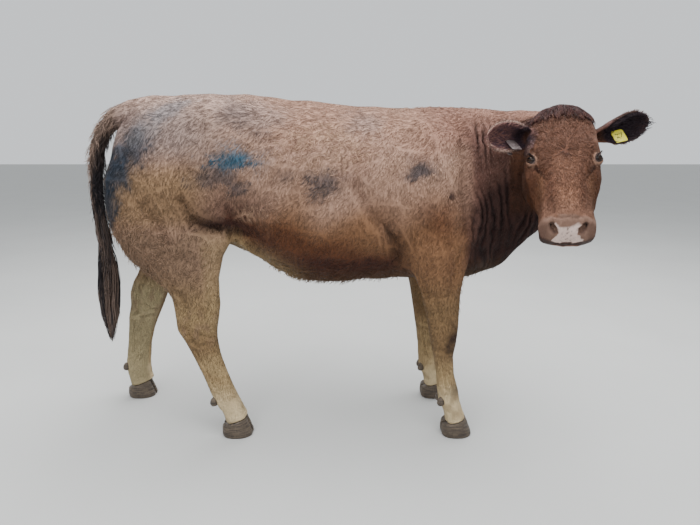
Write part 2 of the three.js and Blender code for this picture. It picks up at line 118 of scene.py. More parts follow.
def line_distance(places, path):
    """Distance from each place to a line of straight stretches, and the share of it passed there."""
    path = np.asarray(path, float)
    lengths = np.linalg.norm(np.diff(path, axis=0), axis=1)
    begun = np.concatenate([[0], np.cumsum(lengths)])
    best, along = np.full(len(places), 1e9), np.zeros(len(places))
    for i, (a, b) in enumerate(zip(path[:-1], path[1:])):
        f = np.clip((places - a) @ (b - a) / max(lengths[i] ** 2, 1e-12), 0, 1)
        d = np.linalg.norm(places - a - f[:, None] * (b - a), axis=1)
        nearer = d < best
        best[nearer] = d[nearer]
        along[nearer] = ((begun[i] + f * lengths[i]) / begun[-1])[nearer]
    return best, along


def line_point(path, along):
    """Points at shares 0 to 1 of the length of a line of straight stretches."""
    path = np.asarray(path, float)
    begun = np.concatenate([[0], np.cumsum(np.linalg.norm(np.diff(path, axis=0), axis=1))])
    return np.stack([np.interp(along * begun[-1], begun, path[:, k]) for k in range(path.shape[1])], -1)


# ---- frames of the head and the ears ----
def head_axes():
    """Rows t, s, u of the head's frame and its origin, in the animal's own frame."""
    ahead = np.array([-math.sin(HEAD_TURN), -math.cos(HEAD_TURN), 0.0])
    up = np.array(Matrix.Rotation(HEAD_ROLL, 3, Vector(ahead)) @ Vector((0, 0, 1)))
    t = math.sin(HEAD_TILT) * ahead - math.cos(HEAD_TILT) * up
    u = math.cos(HEAD_TILT) * ahead + math.sin(HEAD_TILT) * up
    return np.array([t, np.cross(t, u), u]), BETWEEN_EYES - EYE_T * t


HEAD_AXES, HEAD_ORIGIN = head_axes()


def to_head(points):
    """Points of the row's frame in the head's frame."""
    return (points - SHIFT - HEAD_ORIGIN) @ HEAD_AXES.T


def from_head(points):
    """Points of the head's frame in the row's frame."""
    return np.asarray(points) @ HEAD_AXES + HEAD_ORIGIN + SHIFT


def ear_axes(ear):
    """Rows of an ear's frame: along it, across it and out of its open side."""
    x = unit(np.array(ear["along"], float))
    y = unit(np.cross(np.array(ear["open"], float), x))
    return np.array([x, y, np.cross(x, y)])


def to_ear(points, ear):
    """Points of the row's frame in an ear's frame."""
    return (points - SHIFT - np.array(ear["root"])) @ ear_axes(ear).T


def from_ear(points, ear):
    """Points of an ear's frame in the row's frame."""
    return np.asarray(points) @ ear_axes(ear) + np.array(ear["root"]) + SHIFT


def cup_radius(along):
    """Radius of the outside of an ear's cup at a distance along it."""
    half_width = np.interp(along, EAR_ROWS[:, 0], EAR_ROWS[:, 1])
    opening = np.interp(along, EAR_ROWS[:, 0], EAR_ROWS[:, 2])
    return half_width / np.sin(np.radians(np.minimum(opening, 90)))


def rim_distance(place):
    """How far places in an ear's frame are from the rim of its cup, measured round the cup."""
    along, across, out = place.T
    radius = cup_radius(along)
    opening = np.interp(along, EAR_ROWS[:, 0], EAR_ROWS[:, 2])
    turn = np.degrees(np.arctan2(np.abs(across), -(out - CUP_AXIS * radius)))
    return np.radians(opening - turn) * radius


# ---- meshes ----
def placed(name, data):
    """A new object of some data in the scene."""
    thing = bpy.data.objects.new(name, data)
    bpy.context.scene.collection.objects.link(thing)
    return thing


def new_piece(name, points, quads=(), triangles=(), colours=None):
    """An object at the origin, its points in the row's frame, its faces four-sided and three-sided."""
    quads = np.asarray(quads, np.int32).reshape(-1, 4)
    triangles = np.asarray(triangles, np.int32).reshape(-1, 3)
    mesh = bpy.data.meshes.new(name)
    mesh.vertices.add(len(points))
    mesh.vertices.foreach_set("co", np.asarray(points, np.float32).ravel())
    mesh.loops.add(quads.size + triangles.size)
    mesh.loops.foreach_set("vertex_index", np.concatenate([quads.ravel(), triangles.ravel()]))
    mesh.polygons.add(len(quads) + len(triangles))
    starts = [np.arange(len(quads)) * 4, quads.size + np.arange(len(triangles)) * 3]
    mesh.polygons.foreach_set("loop_start", np.concatenate(starts).astype(np.int32))
    mesh.update(calc_edges=True)
    mesh.validate()
    shade_smooth(mesh)
    if colours is not None:
        paint_points(mesh, "hide", colours)
    return placed(name, mesh)


def shade_smooth(mesh):
    """Smooth shading over all faces of a mesh."""
    mesh.polygons.foreach_set("use_smooth", np.ones(len(mesh.polygons), bool))


def paint_points(mesh, name, colours):
    """A colour on each point of a mesh, as an attribute."""
    layer = mesh.color_attributes.new(name, "FLOAT_COLOR", "POINT")
    layer.data.foreach_set(
        "color", np.column_stack([colours, np.ones(len(colours))]).astype(np.float32).ravel()
    )


def number_points(mesh, name, values):
    """A number on each point of a mesh, as an attribute."""
    layer = mesh.attributes.new(name, "FLOAT", "POINT")
    layer.data.foreach_set("value", np.asarray(values, np.float32))


def points_of(mesh):
    """The places of a mesh's points."""
    co = np.empty(len(mesh.vertices) * 3, np.float32)
    mesh.vertices.foreach_get("co", co)
    return co.reshape(-1, 3).astype(float)


def set_points(mesh, points):
    """Moves a mesh's points to new places."""
    mesh.vertices.foreach_set("co", np.asarray(points, np.float32).ravel())
    mesh.update()


def edges_of(mesh):
    """The two points of each edge of a mesh, by number."""
    ends = np.empty(len(mesh.edges) * 2, np.int32)
    mesh.edges.foreach_get("vertices", ends)
    return ends.reshape(-1, 2)


def triangles_of(mesh):
    """The three points of each triangle of a mesh, by number."""
    mesh.calc_loop_triangles()
    corners = np.empty(len(mesh.loop_triangles) * 3, np.int32)
    mesh.loop_triangles.foreach_get("vertices", corners)
    return corners.reshape(-1, 3)


def normals_of(mesh):
    """The normals at a mesh's points."""
    n = np.empty(len(mesh.vertices) * 3, np.float32)
    mesh.vertex_normals.foreach_get("vector", n)
    return n.reshape(-1, 3).astype(float)


def made(block):
    """The mesh of an object with its modifiers applied."""
    done = bpy.data.meshes.new_from_object(block.evaluated_get(bpy.context.evaluated_depsgraph_get()))
    block.modifiers.clear()
    block.data = done
    return block


def grid_faces(rows, columns):
    """Four-sided faces of rings of points, each ring joined to the next."""
    i, j = np.meshgrid(np.arange(rows - 1), np.arange(columns), indexing="ij")
    k = (j + 1) % columns
    return np.stack(
        [i * columns + j, i * columns + k, (i + 1) * columns + k, (i + 1) * columns + j], -1
    ).reshape(-1, 4)


def capped(rings):
    """A closed skin over rings of points: the grid between them and a fan over each end ring.

    The faces are turned round if the solid's volume comes out negative.
    """
    count, sides, _ = rings.shape
    points = np.vstack([rings.reshape(-1, 3), rings[0].mean(0), rings[-1].mean(0)])
    first, last = count * sides, count * sides + 1
    j = np.arange(sides)
    k = (j + 1) % sides
    quads = grid_faces(count, sides)
    fans = np.vstack([
        np.stack([np.full(sides, first), k, j], -1),
        np.stack([np.full(sides, last), first - sides + j, first - sides + k], -1),
    ])
    volume = 0.0
    for faces in (quads[:, [0, 1, 2]], quads[:, [0, 2, 3]], fans):
        a, b, c = (points[faces[:, m]] - points[first] for m in range(3))
        volume += (a * np.cross(b, c)).sum()
    if volume < 0:
        quads, fans = quads[:, ::-1], fans[:, ::-1]
    return points, quads, fans


def relax(points, edges, rounds, out, back):
    """Each point goes a share `out` of the way to its neighbours' mean, then a share `back` away from it."""
    a, b = edges[:, 0], edges[:, 1]
    size = len(points)
    count = np.bincount(edges.ravel(), minlength=size)[:, None]
    for _ in range(rounds):
        for step in (out, -back):
            total = [
                np.bincount(a, points[b, k], size) + np.bincount(b, points[a, k], size) for k in range(3)
            ]
            points = points + step[:, None] * (np.stack(total, 1) / count - points)
    return points


# ---- where a point is on the body ----
def places_of(points):
    """Masks from 0 to 1 and lengths that say where points of the row's frame are on the animal."""
    own, head = points - SHIFT, to_head(points)
    x, y, z = own.T
    t, s, u = head.T
    p = SimpleNamespace(own=own, head=head, x=x, y=y, z=z, t=t, s=s, u=u)
    p.right = smoothstep(0.02, -0.02, y)
    p.in_head = (
        smoothstep(-0.09, -0.05, t) * smoothstep(0.55, 0.5, t) * smoothstep(0.17, 0.15, np.abs(s))
        * smoothstep(-0.31, -0.27, u)
    )
    p.ears = {}
    for name, ear in EARS.items():
        place = to_ear(points, ear)
        reach = np.hypot(place[:, 1], place[:, 2])
        inside = (
            smoothstep(0.005, 0.03, place[:, 0]) * (place[:, 0] < 0.21)
            * (reach < 1.4 * cup_radius(place[:, 0]) + 0.008)
        )
        p.ears[name] = SimpleNamespace(place=place, mask=inside)
    p.ear = np.maximum(p.ears["right"].mask, p.ears["left"].mask)
    near_tail, p.down_tail = line_distance(own[:, [0, 2]], TAIL_LINE)
    p.tail = (
        smoothstep(0.056, 0.046, near_tail) * smoothstep(0.055, 0.045, np.abs(y)) * smoothstep(0.13, 0.09, x)
    )
    p.leg = smoothstep(0.62, 0.5, z)
    p.foot = smoothstep(0.26, 0.12, z)
    p.hind = x < 0.75
    p.neck = smoothstep(1.40, 1.48, x) * smoothstep(0.5, 0.6, z) * (1 - np.maximum(p.in_head, p.ear))
    p.muzzle = p.in_head * smoothstep(0.35, 0.41, t)
    return p


def near_line(places, path, reach):
    """1 on a line of straight stretches, fading over the reach."""
    return hill(line_distance(places, path)[0], 0, reach)


def spot_at(a, b, centre, reach):
    """1 at a place in two measures, such as x and z, fading over a reach in each."""
    return np.exp(-(((a - centre[0]) / reach[0]) ** 2) - ((b - centre[1]) / reach[1]) ** 2)


def stroke(places, path, width, height):
    """A ridge or groove: the height times a bell of the distance to a line."""
    return height * near_line(places, path, width)


def bump_at(places, centre, reach, height):
    """A rounded swelling or hollow: the height times a bell of the distance to a point."""
    return height * np.exp(-(((places - np.array(centre)) / reach) ** 2).sum(1))


# ---- the skin's shape ----
FLESH = [
    "trunk", "neck", "head", "ear_left", "ear_right", "tail_dock",
    "foreleg_left", "foreleg_right", "hindleg_left", "hindleg_right",
]
VOXEL = 0.0052
SKIN_TRIANGLES = 194000
FLESH_SWELL = 0.0004  # so that the parts overlap where they only touch


def tail_core():
    """The tail's bones and skin below the dock: rings round the tail's line that narrow to its end."""
    along = np.linspace(0.5, 0.93, 24)
    line = line_point(TAIL_LINE, along)
    radius = np.interp(along, [0.5, 0.6, 0.93], [0.019, 0.013, 0.005])
    angle = ring_angles(16)
    rings = np.stack([
        line[:, :1] + radius[:, None] * np.cos(angle),
        radius[:, None] * np.sin(angle),
        line[:, 1:] + 0 * angle,
    ], -1)
    return capped(rings + SHIFT)


def flesh_block():
    """One closed mesh round copies of the flesh, the eyeballs and the core of the tail."""
    bm = bmesh.new()
    for name in [*FLESH, "eye_left", "eye_right"]:
        bm.from_mesh(nodes[name].data)
    bmesh.ops.remove_doubles(bm, verts=bm.verts, dist=1e-5)
    bm.normal_update()
    for v in bm.verts:
        v.co += v.normal * FLESH_SWELL
    core = new_piece("core", *tail_core())
    bm.from_mesh(core.data)
    bpy.data.objects.remove(core)
    mesh = bpy.data.meshes.new("skin")
    bm.to_mesh(mesh)
    bm.free()
    block = placed("skin", mesh)
    remesh = block.modifiers.new("remesh", "REMESH")
    remesh.mode, remesh.voxel_size = "VOXEL", VOXEL
    return made(block)


def refine(mesh, chosen):
    """Each face with all its corners chosen becomes four."""
    bm = bmesh.new()
    bm.from_mesh(mesh)
    bm.verts.ensure_lookup_table()
    edges = {e for f in bm.faces if all(chosen[v.index] for v in f.verts) for e in f.edges}
    bmesh.ops.subdivide_edges(bm, edges=list(edges), cuts=1, use_grid_fill=True)
    bm.to_mesh(mesh)
    bm.free()


def by_place(start, p, foot, head, muzzle, ear, tail):
    """A measure of the coat: its start on the body, then a value of its own on each of the other places."""
    shares = (p.foot, p.in_head, p.muzzle, p.ear, p.tail)
    for value, share in zip((foot, head, muzzle, ear, tail), shares):
        start = mix(start, value, share)
    return start


def coat_depth(p):
    """How far the skin lies under the outside of the coat."""
    depth = mix(0.0055, 0.0032, p.leg)
    return by_place(depth, p, foot=0.0018, head=0.0032, muzzle=0.0012, ear=0.0012, tail=0.006)


LEG_TOP = 0.8  # height up to which a leg has a back and a front of its own
LEG_DEPTH = 0.11  # from back to front, which makes a length of a share of it


def leg_places(p):
    """For each point of the legs: 0 at the back and 1 at the front of its own leg at that height."""
    share = np.full(len(p.x), 0.5)
    step = 0.02
    levels = np.arange(0.05, LEG_TOP, step)
    for hind in (True, False):
        for right in (True, False):
            own = (p.hind == hind) & ((p.y < 0) == right) & (p.z < LEG_TOP) & (np.abs(p.y) > 0.09)
            bin_of = np.clip(((p.z[own] - levels[0]) / step).round().astype(int), 0, len(levels) - 1)
            low, high = np.full(len(levels), 9.0), np.full(len(levels), -9.0)
            np.minimum.at(low, bin_of, p.x[own])
            np.maximum.at(high, bin_of, p.x[own])
            back, front = np.interp(p.z[own], levels, low), np.interp(p.z[own], levels, high)
            share[own] = (p.x[own] - back) / np.maximum(front - back, 0.01)
    return share


# Lines on the flanks, in x and z, each with its width and how far it rises. Both sides have them.
BODY_STROKES = [
    ([(0.40, 0.96), (0.43, 0.90), (0.465, 0.858), (0.52, 0.836)], 0.016, -0.007),  # thigh's front edge
    ([(0.44, 0.862), (0.513, 0.838), (0.575, 0.815)], 0.026, -0.017),  # hollow of the flank
    ([(0.545, 0.845), (0.585, 0.79), (0.64, 0.72)], 0.022, 0.007),  # fold from the flank to the belly
    ([(0.50, 0.965), (0.59, 0.938), (0.70, 0.915)], 0.03, -0.004),  # furrow of the flank
    ([(0.275, 0.945), (0.295, 0.90), (0.32, 0.855), (0.345, 0.80)], 0.022, -0.006),  # groove in the thigh
    ([(0.20, 1.16), (0.225, 1.05), (0.245, 0.95)], 0.02, -0.004),  # groove behind the thigh's muscle
    ([(1.024, 1.0), (1.051, 0.94), (1.105, 0.865), (1.165, 0.8)], 0.022, -0.009),  # behind the shoulder
    ([(1.14, 0.86), (1.16, 0.80), (1.183, 0.73)], 0.024, -0.012),  # behind the elbow
    ([(1.118, 0.86), (1.128, 0.79), (1.142, 0.72)], 0.008, 0.005),  # loose skin there
    ([(1.096, 0.85), (1.106, 0.79), (1.116, 0.735)], 0.007, 0.0035),
    ([(1.075, 0.84), (1.083, 0.79)], 0.006, 0.002),
    ([(1.2, 0.98), (1.22, 0.9), (1.235, 0.82)], 0.02, -0.005),  # between shoulder blade and arm
    ([(1.40, 1.2), (1.405, 1.08), (1.40, 0.96), (1.415, 0.84)], 0.028, -0.010),  # shoulder and neck
    ([(1.27, 1.22), (1.32, 1.1), (1.36, 0.97)], 0.03, 0.005),  # spine of the shoulder blade
    ([(1.22, 0.735), (1.26, 0.66), (1.29, 0.58)], 0.014, -0.004),  # arm's muscles
    ([(1.40, 0.76), (1.385, 0.68), (1.375, 0.6)], 0.012, -0.004),
]
# Swellings on the flanks: x, z, their reach and how far they rise.
BODY_SWELLINGS = [
    (0.30, 0.965, 0.075, 0.007),  # thigh
    (0.385, 0.80, 0.06, 0.006),  # stifle
    (0.235, 0.78, 0.06, 0.005),
    (0.52, 1.245, 0.045, 0.009),  # hip bone
    (0.70, 1.17, 0.075, -0.009),  # hollow before it
    (0.165, 1.15, 0.04, 0.006),  # pin bone
    (0.90, 0.95, 0.16, 0.004),  # barrel
    (1.27, 0.90, 0.07, 0.008),  # shoulder
    (1.33, 0.76, 0.06, 0.008),  # arm
    (1.385, 0.90, 0.035, 0.007),  # point of the shoulder
    (1.47, 0.70, 0.06, 0.006),  # brisket
]
# Lines on a leg: hind or fore, points as (share from back to front, height), width, rise.
LEG_STROKES = [
    (True, [(0.36, 0.60), (0.31, 0.53), (0.30, 0.46), (0.34, 0.41)], 0.010, -0.007),  # before the hamstring
    (True, [(0.30, 0.37), (0.33, 0.30), (0.36, 0.22)], 0.007, -0.0035),  # cannon's tendons
    (True, [(0.5, 0.452), (0.72, 0.43), (0.95, 0.42)], 0.008, -0.003),  # bend of the hock
    (True, [(0.25, 0.402), (0.5, 0.39), (0.8, 0.40)], 0.008, -0.003),
    (False, [(0.32, 0.34), (0.36, 0.28), (0.38, 0.21)], 0.007, -0.0035),
    (False, [(0.62, 0.50), (0.75, 0.47), (0.9, 0.455)], 0.009, -0.003),  # top of the knee
    (False, [(0.35, 0.375), (0.6, 0.36), (0.9, 0.358)], 0.009, -0.003),  # foot of the knee
    (False, [(0.35, 0.62), (0.4, 0.55), (0.42, 0.49)], 0.011, -0.005),  # forearm
]


FOLD_PITCH = 0.031  # from fold to fold of the neck


def folds(p):
    """Where a point is across the neck's upright folds, as a length, and 0 between two folds to 1 on one."""
    drift = 0.007 * waves(p.own * np.array([1.0, 0.3, 0.5]), 0.10, 81) + 0.0022 * waves(p.own, 0.05, 82)
    wobble = 0.012 * np.sin(p.z * 9 + 0.7) + 0.006 * np.sin(p.z * 23)
    lean = p.x - wobble + 0.10 * (p.z - 0.95) + drift
    return lean, np.abs(np.sin(math.pi * lean / FOLD_PITCH)) ** 0.7


def fold_strength(p):
    """Where the folds of the neck run deep and where they fade, 0 to 1.3."""
    return np.clip(0.75 + 0.45 * waves(p.own * np.array([1.0, 0.3, 0.6]), 0.13, 83), 0.1, 1.3)


def body_form(p, normals):
    """How far each point of the body moves out along its normal: muscles, bones, grooves and loose skin."""
    flank = np.column_stack([p.x, p.z])
    sideways = smoothstep(0.25, 0.6, np.abs(normals[:, 1]))
    outward = sideways * (1 - p.tail) * (1 - p.in_head) * (1 - p.ear)
    outward *= np.abs(p.y) > 0.05
    rise = np.zeros(len(p.x))
    for path, width, height in BODY_STROKES:
        rise += stroke(flank, path, width, 1.5 * height)
    for x, z, reach, height in BODY_SWELLINGS:
        rise += 1.4 * height * np.exp(-(((p.x - x) ** 2 + (p.z - z) ** 2) / reach**2))
    rise *= outward
    # Folds of the neck stand upright, deep on the side that the neck bends to.
    lean, stripe = folds(p)
    window = smoothstep(1.40, 1.455, lean) * smoothstep(1.70, 1.64, lean) * smoothstep(0.60, 0.78, p.z)
    window *= smoothstep(1.25, 1.12, p.z) * (1 - p.in_head) * (1 - p.ear)
    rise += window * (stripe - 0.65) * fold_strength(p) * np.where(p.y < 0.02, 0.0125, 0.0015) * sideways
    # Loose skin and muscle, with no order to it.
    loose = 0.0016 * waves(p.own, 0.16, 3) + 0.0008 * waves(p.own, 0.07, 4)
    rise += (1 - p.in_head) * (1 - p.ear) * (1 - 0.7 * p.leg) * loose
    place = np.column_stack([leg_places(p) * LEG_DEPTH, p.z])
    on_leg = (p.z < 0.75) * smoothstep(0.2, 0.6, np.abs(normals[:, 1]))
    for hind, path, width, height in LEG_STROKES:
        line = [(share * LEG_DEPTH, z) for share, z in path]
        rise += (p.hind == hind) * stroke(place, line, width, height) * on_leg
    return rise


# Lines on the head, as t, s, u on its right, each with its width and rise. The left mirrors them.
HEAD_STROKES = [
    ([(0.205, 0.090, -0.032), (0.235, 0.078, -0.020), (0.268, 0.066, -0.012)], 0.006, -0.0035),  # tear groove
    ([(0.215, 0.108, -0.072), (0.27, 0.100, -0.078), (0.33, 0.086, -0.08)], 0.013, 0.0045),  # cheek bone
    ([(0.24, 0.112, -0.12), (0.30, 0.095, -0.112), (0.36, 0.082, -0.10)], 0.016, -0.004),  # under it
    ([(0.22, 0.045, 0.0), (0.29, 0.047, 0.0), (0.36, 0.044, -0.004)], 0.014, 0.0022),  # edge of the nose bone
    ([(0.25, 0.072, -0.014), (0.31, 0.068, -0.016), (0.37, 0.062, -0.02)], 0.011, -0.003),  # beside it
    # behind the wing
    ([(0.395, 0.064, -0.022), (0.41, 0.070, -0.05), (0.418, 0.072, -0.082)], 0.006, -0.0025),
    ([(0.404, 0.0, -0.012), (0.407, 0.02, -0.013), (0.404, 0.036, -0.014)], 0.005, -0.002),  # above the pad
    (
        [(0.405, 0.050, -0.016), (0.416, 0.060, -0.028), (0.428, 0.056, -0.048), (0.438, 0.042, -0.056)],
        0.008, 0.0045,  # wing of the nostril
    ),
    ([(0.448, 0.0, -0.045), (0.450, 0.0, -0.070), (0.450, 0.0, -0.088)], 0.0025, -0.0025),  # cleft of the lip
    ([(0.448, 0.0, -0.095), (0.447, 0.03, -0.095), (0.438, 0.058, -0.094)], 0.006, 0.003),  # upper lip
    ([(0.446, 0.0, -0.109), (0.444, 0.03, -0.109), (0.436, 0.052, -0.108)], 0.006, 0.0025),  # lower lip
    ([(0.120, 0.070, 0.004), (0.135, 0.092, -0.006), (0.165, 0.102, -0.012)], 0.010, 0.003),  # brow
    ([(0.112, 0.080, 0.0), (0.128, 0.098, -0.008)], 0.004, -0.002),  # wrinkle over it
    ([(0.02, 0.098, -0.02), (0.06, 0.106, -0.03), (0.10, 0.108, -0.04)], 0.018, -0.004),  # temple
    ([(0.17, 0.118, -0.15), (0.22, 0.108, -0.18), (0.28, 0.088, -0.165)], 0.022, 0.004),  # jaw
]
MOUTH_LINE = [
    (0.452, 0.0, -0.102), (0.447, 0.035, -0.102), (0.432, 0.064, -0.102), (0.40, 0.080, -0.104),
    (0.368, 0.084, -0.108)
]
NOSTRIL_DEPTH = 0.013
NOSTRIL_LINE = [(0.421, 0.047, -0.029), (0.430, 0.043, -0.037), (0.437, 0.037, -0.042)]


def half_head(p):
    """Places on the head, its left side mirrored to the right."""
    return np.column_stack([p.t, np.abs(p.s), p.u])


def head_form(p):
    """How far each point of the head moves out along its normal, and how deep it goes into a nostril."""
    place = half_head(p)
    rise = np.zeros(len(p.t))
    for path, width, height in HEAD_STROKES:
        rise += stroke(place, path, width, height)
    rise += stroke(place, MOUTH_LINE, 0.0028, -0.006) + stroke(place, MOUTH_LINE[3:], 0.006, -0.002)
    rise += bump_at(place, (0.155, 0.0, 0.0), 0.035, -0.003)  # hollow of the forehead
    rise += bump_at(place, (0.452, 0.0, -0.125), 0.02, 0.003)  # chin
    rise += bump_at(place, (0.44, 0.062, -0.075), 0.02, 0.004)  # side of the lip
    rise += 0.0008 * waves(p.head, 0.05, 6) + 0.0004 * waves(p.head, 0.022, 7)
    nostril = near_line(place, NOSTRIL_LINE, 0.0054)
    return rise * (1 - nostril), nostril * NOSTRIL_DEPTH


# ---- eyes ----
LID_WIDTH, LID_ABOVE, LID_BELOW = 0.0178, 0.0132, 0.0108  # half the slit's width, its height over and under


def eye_axes(side):
    """Middle of an eyeball in the head's frame, and rows along its slit, up its lids and out of it."""
    out = unit(np.array([-0.04, side * 0.66, 0.75]))
    slant = np.array([0.78, -side, 0.0])
    along = unit(slant - out * (slant @ out))
    up = np.cross(out, along)
    up *= -np.sign(up[0])
    return np.array([EYE_T, side * EYE_S, EYE_U]), np.array([along, up, out])


def lid_edge(along):
    """Heights of the upper and the lower lid's edge along the slit: flattened arcs, fuller above."""
    arc = np.sqrt(np.clip(1 - (along / LID_WIDTH) ** 2, 0, 1))
    return (
        LID_ABOVE * arc**0.9 - 0.0012 * along / LID_WIDTH, -LID_BELOW * arc**1.1 - 0.0012 * along / LID_WIDTH
    )


def lid_distance(place):
    """Distance outside the slit between the lids, negative inside it, from places in an eye's own frame."""
    f = np.linspace(-1, 1, 41) * LID_WIDTH
    over, under = lid_edge(f)
    rim = np.vstack([np.column_stack([f, over]), np.column_stack([f[::-1], under[::-1]])])
    away = line_distance(place[:, :2], rim)[0]
    top, bottom = lid_edge(place[:, 0])
    inside = (np.abs(place[:, 0]) < LID_WIDTH) & (place[:, 1] < top) & (place[:, 1] > bottom)
    return np.where(inside, -away, away)


def lids_near(p, reach, behind):
    """Distance outside the slit for points within reach of an eye's middle and not far behind it; 1
    elsewhere.
    """
    away = np.ones(len(p.x))
    for side in (1, -1):
        middle, axes = eye_axes(side)
        place = (p.head - middle) @ axes.T
        close = (np.linalg.norm(place, axis=1) < reach) & (place[:, 2] > -behind)
        away = np.where(close, lid_distance(place), away)
    return away


def lids(points):
    """Opens the skin over each eyeball: the lids stand out, and between them it dives behind the ball."""
    head = to_head(points)
    for side in (1, -1):
        middle, axes = eye_axes(side)
        near = np.nonzero(np.linalg.norm(head - middle, axis=1) < 0.05)[0]
        place = (head[near] - middle) @ axes.T
        away = lid_distance(place)
        reach = np.linalg.norm(place, axis=1)
        knots = [-0.004, -0.0006, 0.0004, 0.003, 0.007, 0.011, 0.016, 0.024]
        over_ball = np.interp(away, knots, [-0.0045, -0.0035, 0.0016, 0.0026, 0.0034, 0.0018, 0.0022, 0.004])
        target = EYE_RADIUS + over_ball
        share = smoothstep(0.024, 0.010, away) * smoothstep(-0.25, 0.15, place[:, 2] / reach)
        wanted = place * (mix(reach, target, share) / reach)[:, None]
        head[near] = wanted @ axes + middle
    return from_head(head)


def make_skin():
    """The flesh as one mesh: remeshed, smoothed, sunk by the coat's depth, formed, thinned where plain."""
    block = flesh_block()
    mesh = block.data
    p = places_of(points_of(mesh))
    refine(mesh, (p.in_head > 0.5) & (p.t > 0.08) & (p.u > -0.15))
    head = to_head(points_of(mesh))
    near_eye = np.minimum(*[np.linalg.norm(head - eye_axes(side)[0], axis=1) for side in (1, -1)]) < 0.036
    nose = (head[:, 0] > 0.405) & (np.abs(head[:, 1]) < 0.085) & (head[:, 2] > -0.122) & (head[:, 2] < 0.02)
    refine(mesh, near_eye | nose)
    points, edges = points_of(mesh), edges_of(mesh)
    p = places_of(points)
    thin = np.maximum.reduce([p.in_head, p.ear, p.tail, p.leg])
    fine = np.maximum(p.in_head, p.ear)
    out = mix(np.full(len(points), 0.6), 0.35, fine)
    back = mix(mix(0.25, 0.612, smoothstep(0.0, 0.6, thin)), 0.357, fine)
    points = relax(points, edges, 70, out, back)
    set_points(mesh, points)
    normals = normals_of(mesh)
    points = points - normals * coat_depth(p)[:, None]
    set_points(mesh, points)
    normals = normals_of(mesh)
    p = places_of(points)
    rise, nostril = head_form(p)
    rise = mix(body_form(p, normals), rise, p.in_head * (1 - p.ear))
    points = points + normals * rise[:, None]
    inwards = np.array([-0.7, 0.0, -0.35]) @ HEAD_AXES
    points = points + (p.in_head * nostril)[:, None] * unit(inwards)
    set_points(mesh, lids(points))
    keep = np.maximum.reduce([p.in_head, p.ear, 0.55 * p.neck * p.right, 0.35 * p.leg])
    group = block.vertex_groups.new(name="plain")
    for level in range(11):
        group.add(np.nonzero((10 - 10 * keep).round() == level)[0].tolist(), level / 10, "REPLACE")
    thin_out = block.modifiers.new("thin out", "DECIMATE")
    thin_out.vertex_group, thin_out.use_collapse_triangulate = "plain", True
    thin_out.ratio = SKIN_TRIANGLES / len(triangles_of(mesh))
    made(block)
    block.vertex_groups.clear()
    return block


# ---- colours of the hide ----
GAIN, DEPTH_OF_COLOUR = 0.90, 0.98
WARMTH = np.array([1.035, 0.985, 0.965])  # takes the blue of an open sky out of a colour


def paint(red, green, blue):
    """A colour as it looks in soft daylight, 0 to 255, as the linear colour of the hide."""
    linear = (np.array([red, green, blue]) * WARMTH / 255) ** 2.2
    grey = linear @ np.array([0.3, 0.6, 0.1])
    return np.clip((grey + (linear - grey) * DEPTH_OF_COLOUR) * GAIN, 0.004, 0.9)


RED_BROWN = paint(162, 135, 117)
PINK_GREY_AND_SHEEN = paint(170, 149, 138)
BACK_BROWN = paint(160, 131, 114)
WITHERS = paint(146, 115, 101)
DUN_GREY = paint(144, 133, 130)
GOLDEN = paint(130, 100, 74)
BELLY_AND_SHADE = paint(98, 66, 46)
UNDERLINE_AND_SHADE = paint(64, 40, 36)
THIGH_GOLD = paint(134, 112, 86)
THIGH_RED = paint(128, 108, 90)
SHANK = paint(122, 102, 74)
TAN = paint(166, 148, 110)
CREAM = paint(206, 194, 156)
BLUE_BLACK = paint(38, 52, 66)
BLUE_STREAK = paint(128, 132, 138)
TEAL = paint(54, 92, 114)
CHARCOAL = paint(72, 70, 74)
SOOT = paint(48, 36, 36)
BLACK = paint(26, 20, 20)
PALE_LICK = paint(192, 164, 138)
# Painted shade, near black: in folds and hollows, at the throat and under the jaw.
DEEP_SHADE = paint(36, 12, 20)
FOLD_CREST_LIGHT = paint(130, 104, 96)
RED_NECK = paint(76, 51, 47)
FACE = paint(104, 76, 62)
CHEEK = paint(74, 47, 30)
NOSE_BRIDGE = paint(136, 102, 82)
POLL = paint(58, 37, 36)
EAR_DARK = paint(68, 56, 66)
EAR_BACK = paint(110, 84, 80)
EAR_RIM = paint(190, 168, 156)
NOSE_PINK = paint(226, 208, 200)
MUZZLE_TAN = paint(126, 104, 92)
LIP_DARK = paint(50, 36, 35)
CHIN_PINK = paint(176, 142, 128)
LID_PALE = paint(142, 116, 100)
TAIL_BROWN = paint(138, 122, 110)
SWITCH_DARK = paint(36, 34, 38)
INNER_LEG_LIGHT = paint(150, 143, 112) * 1.15
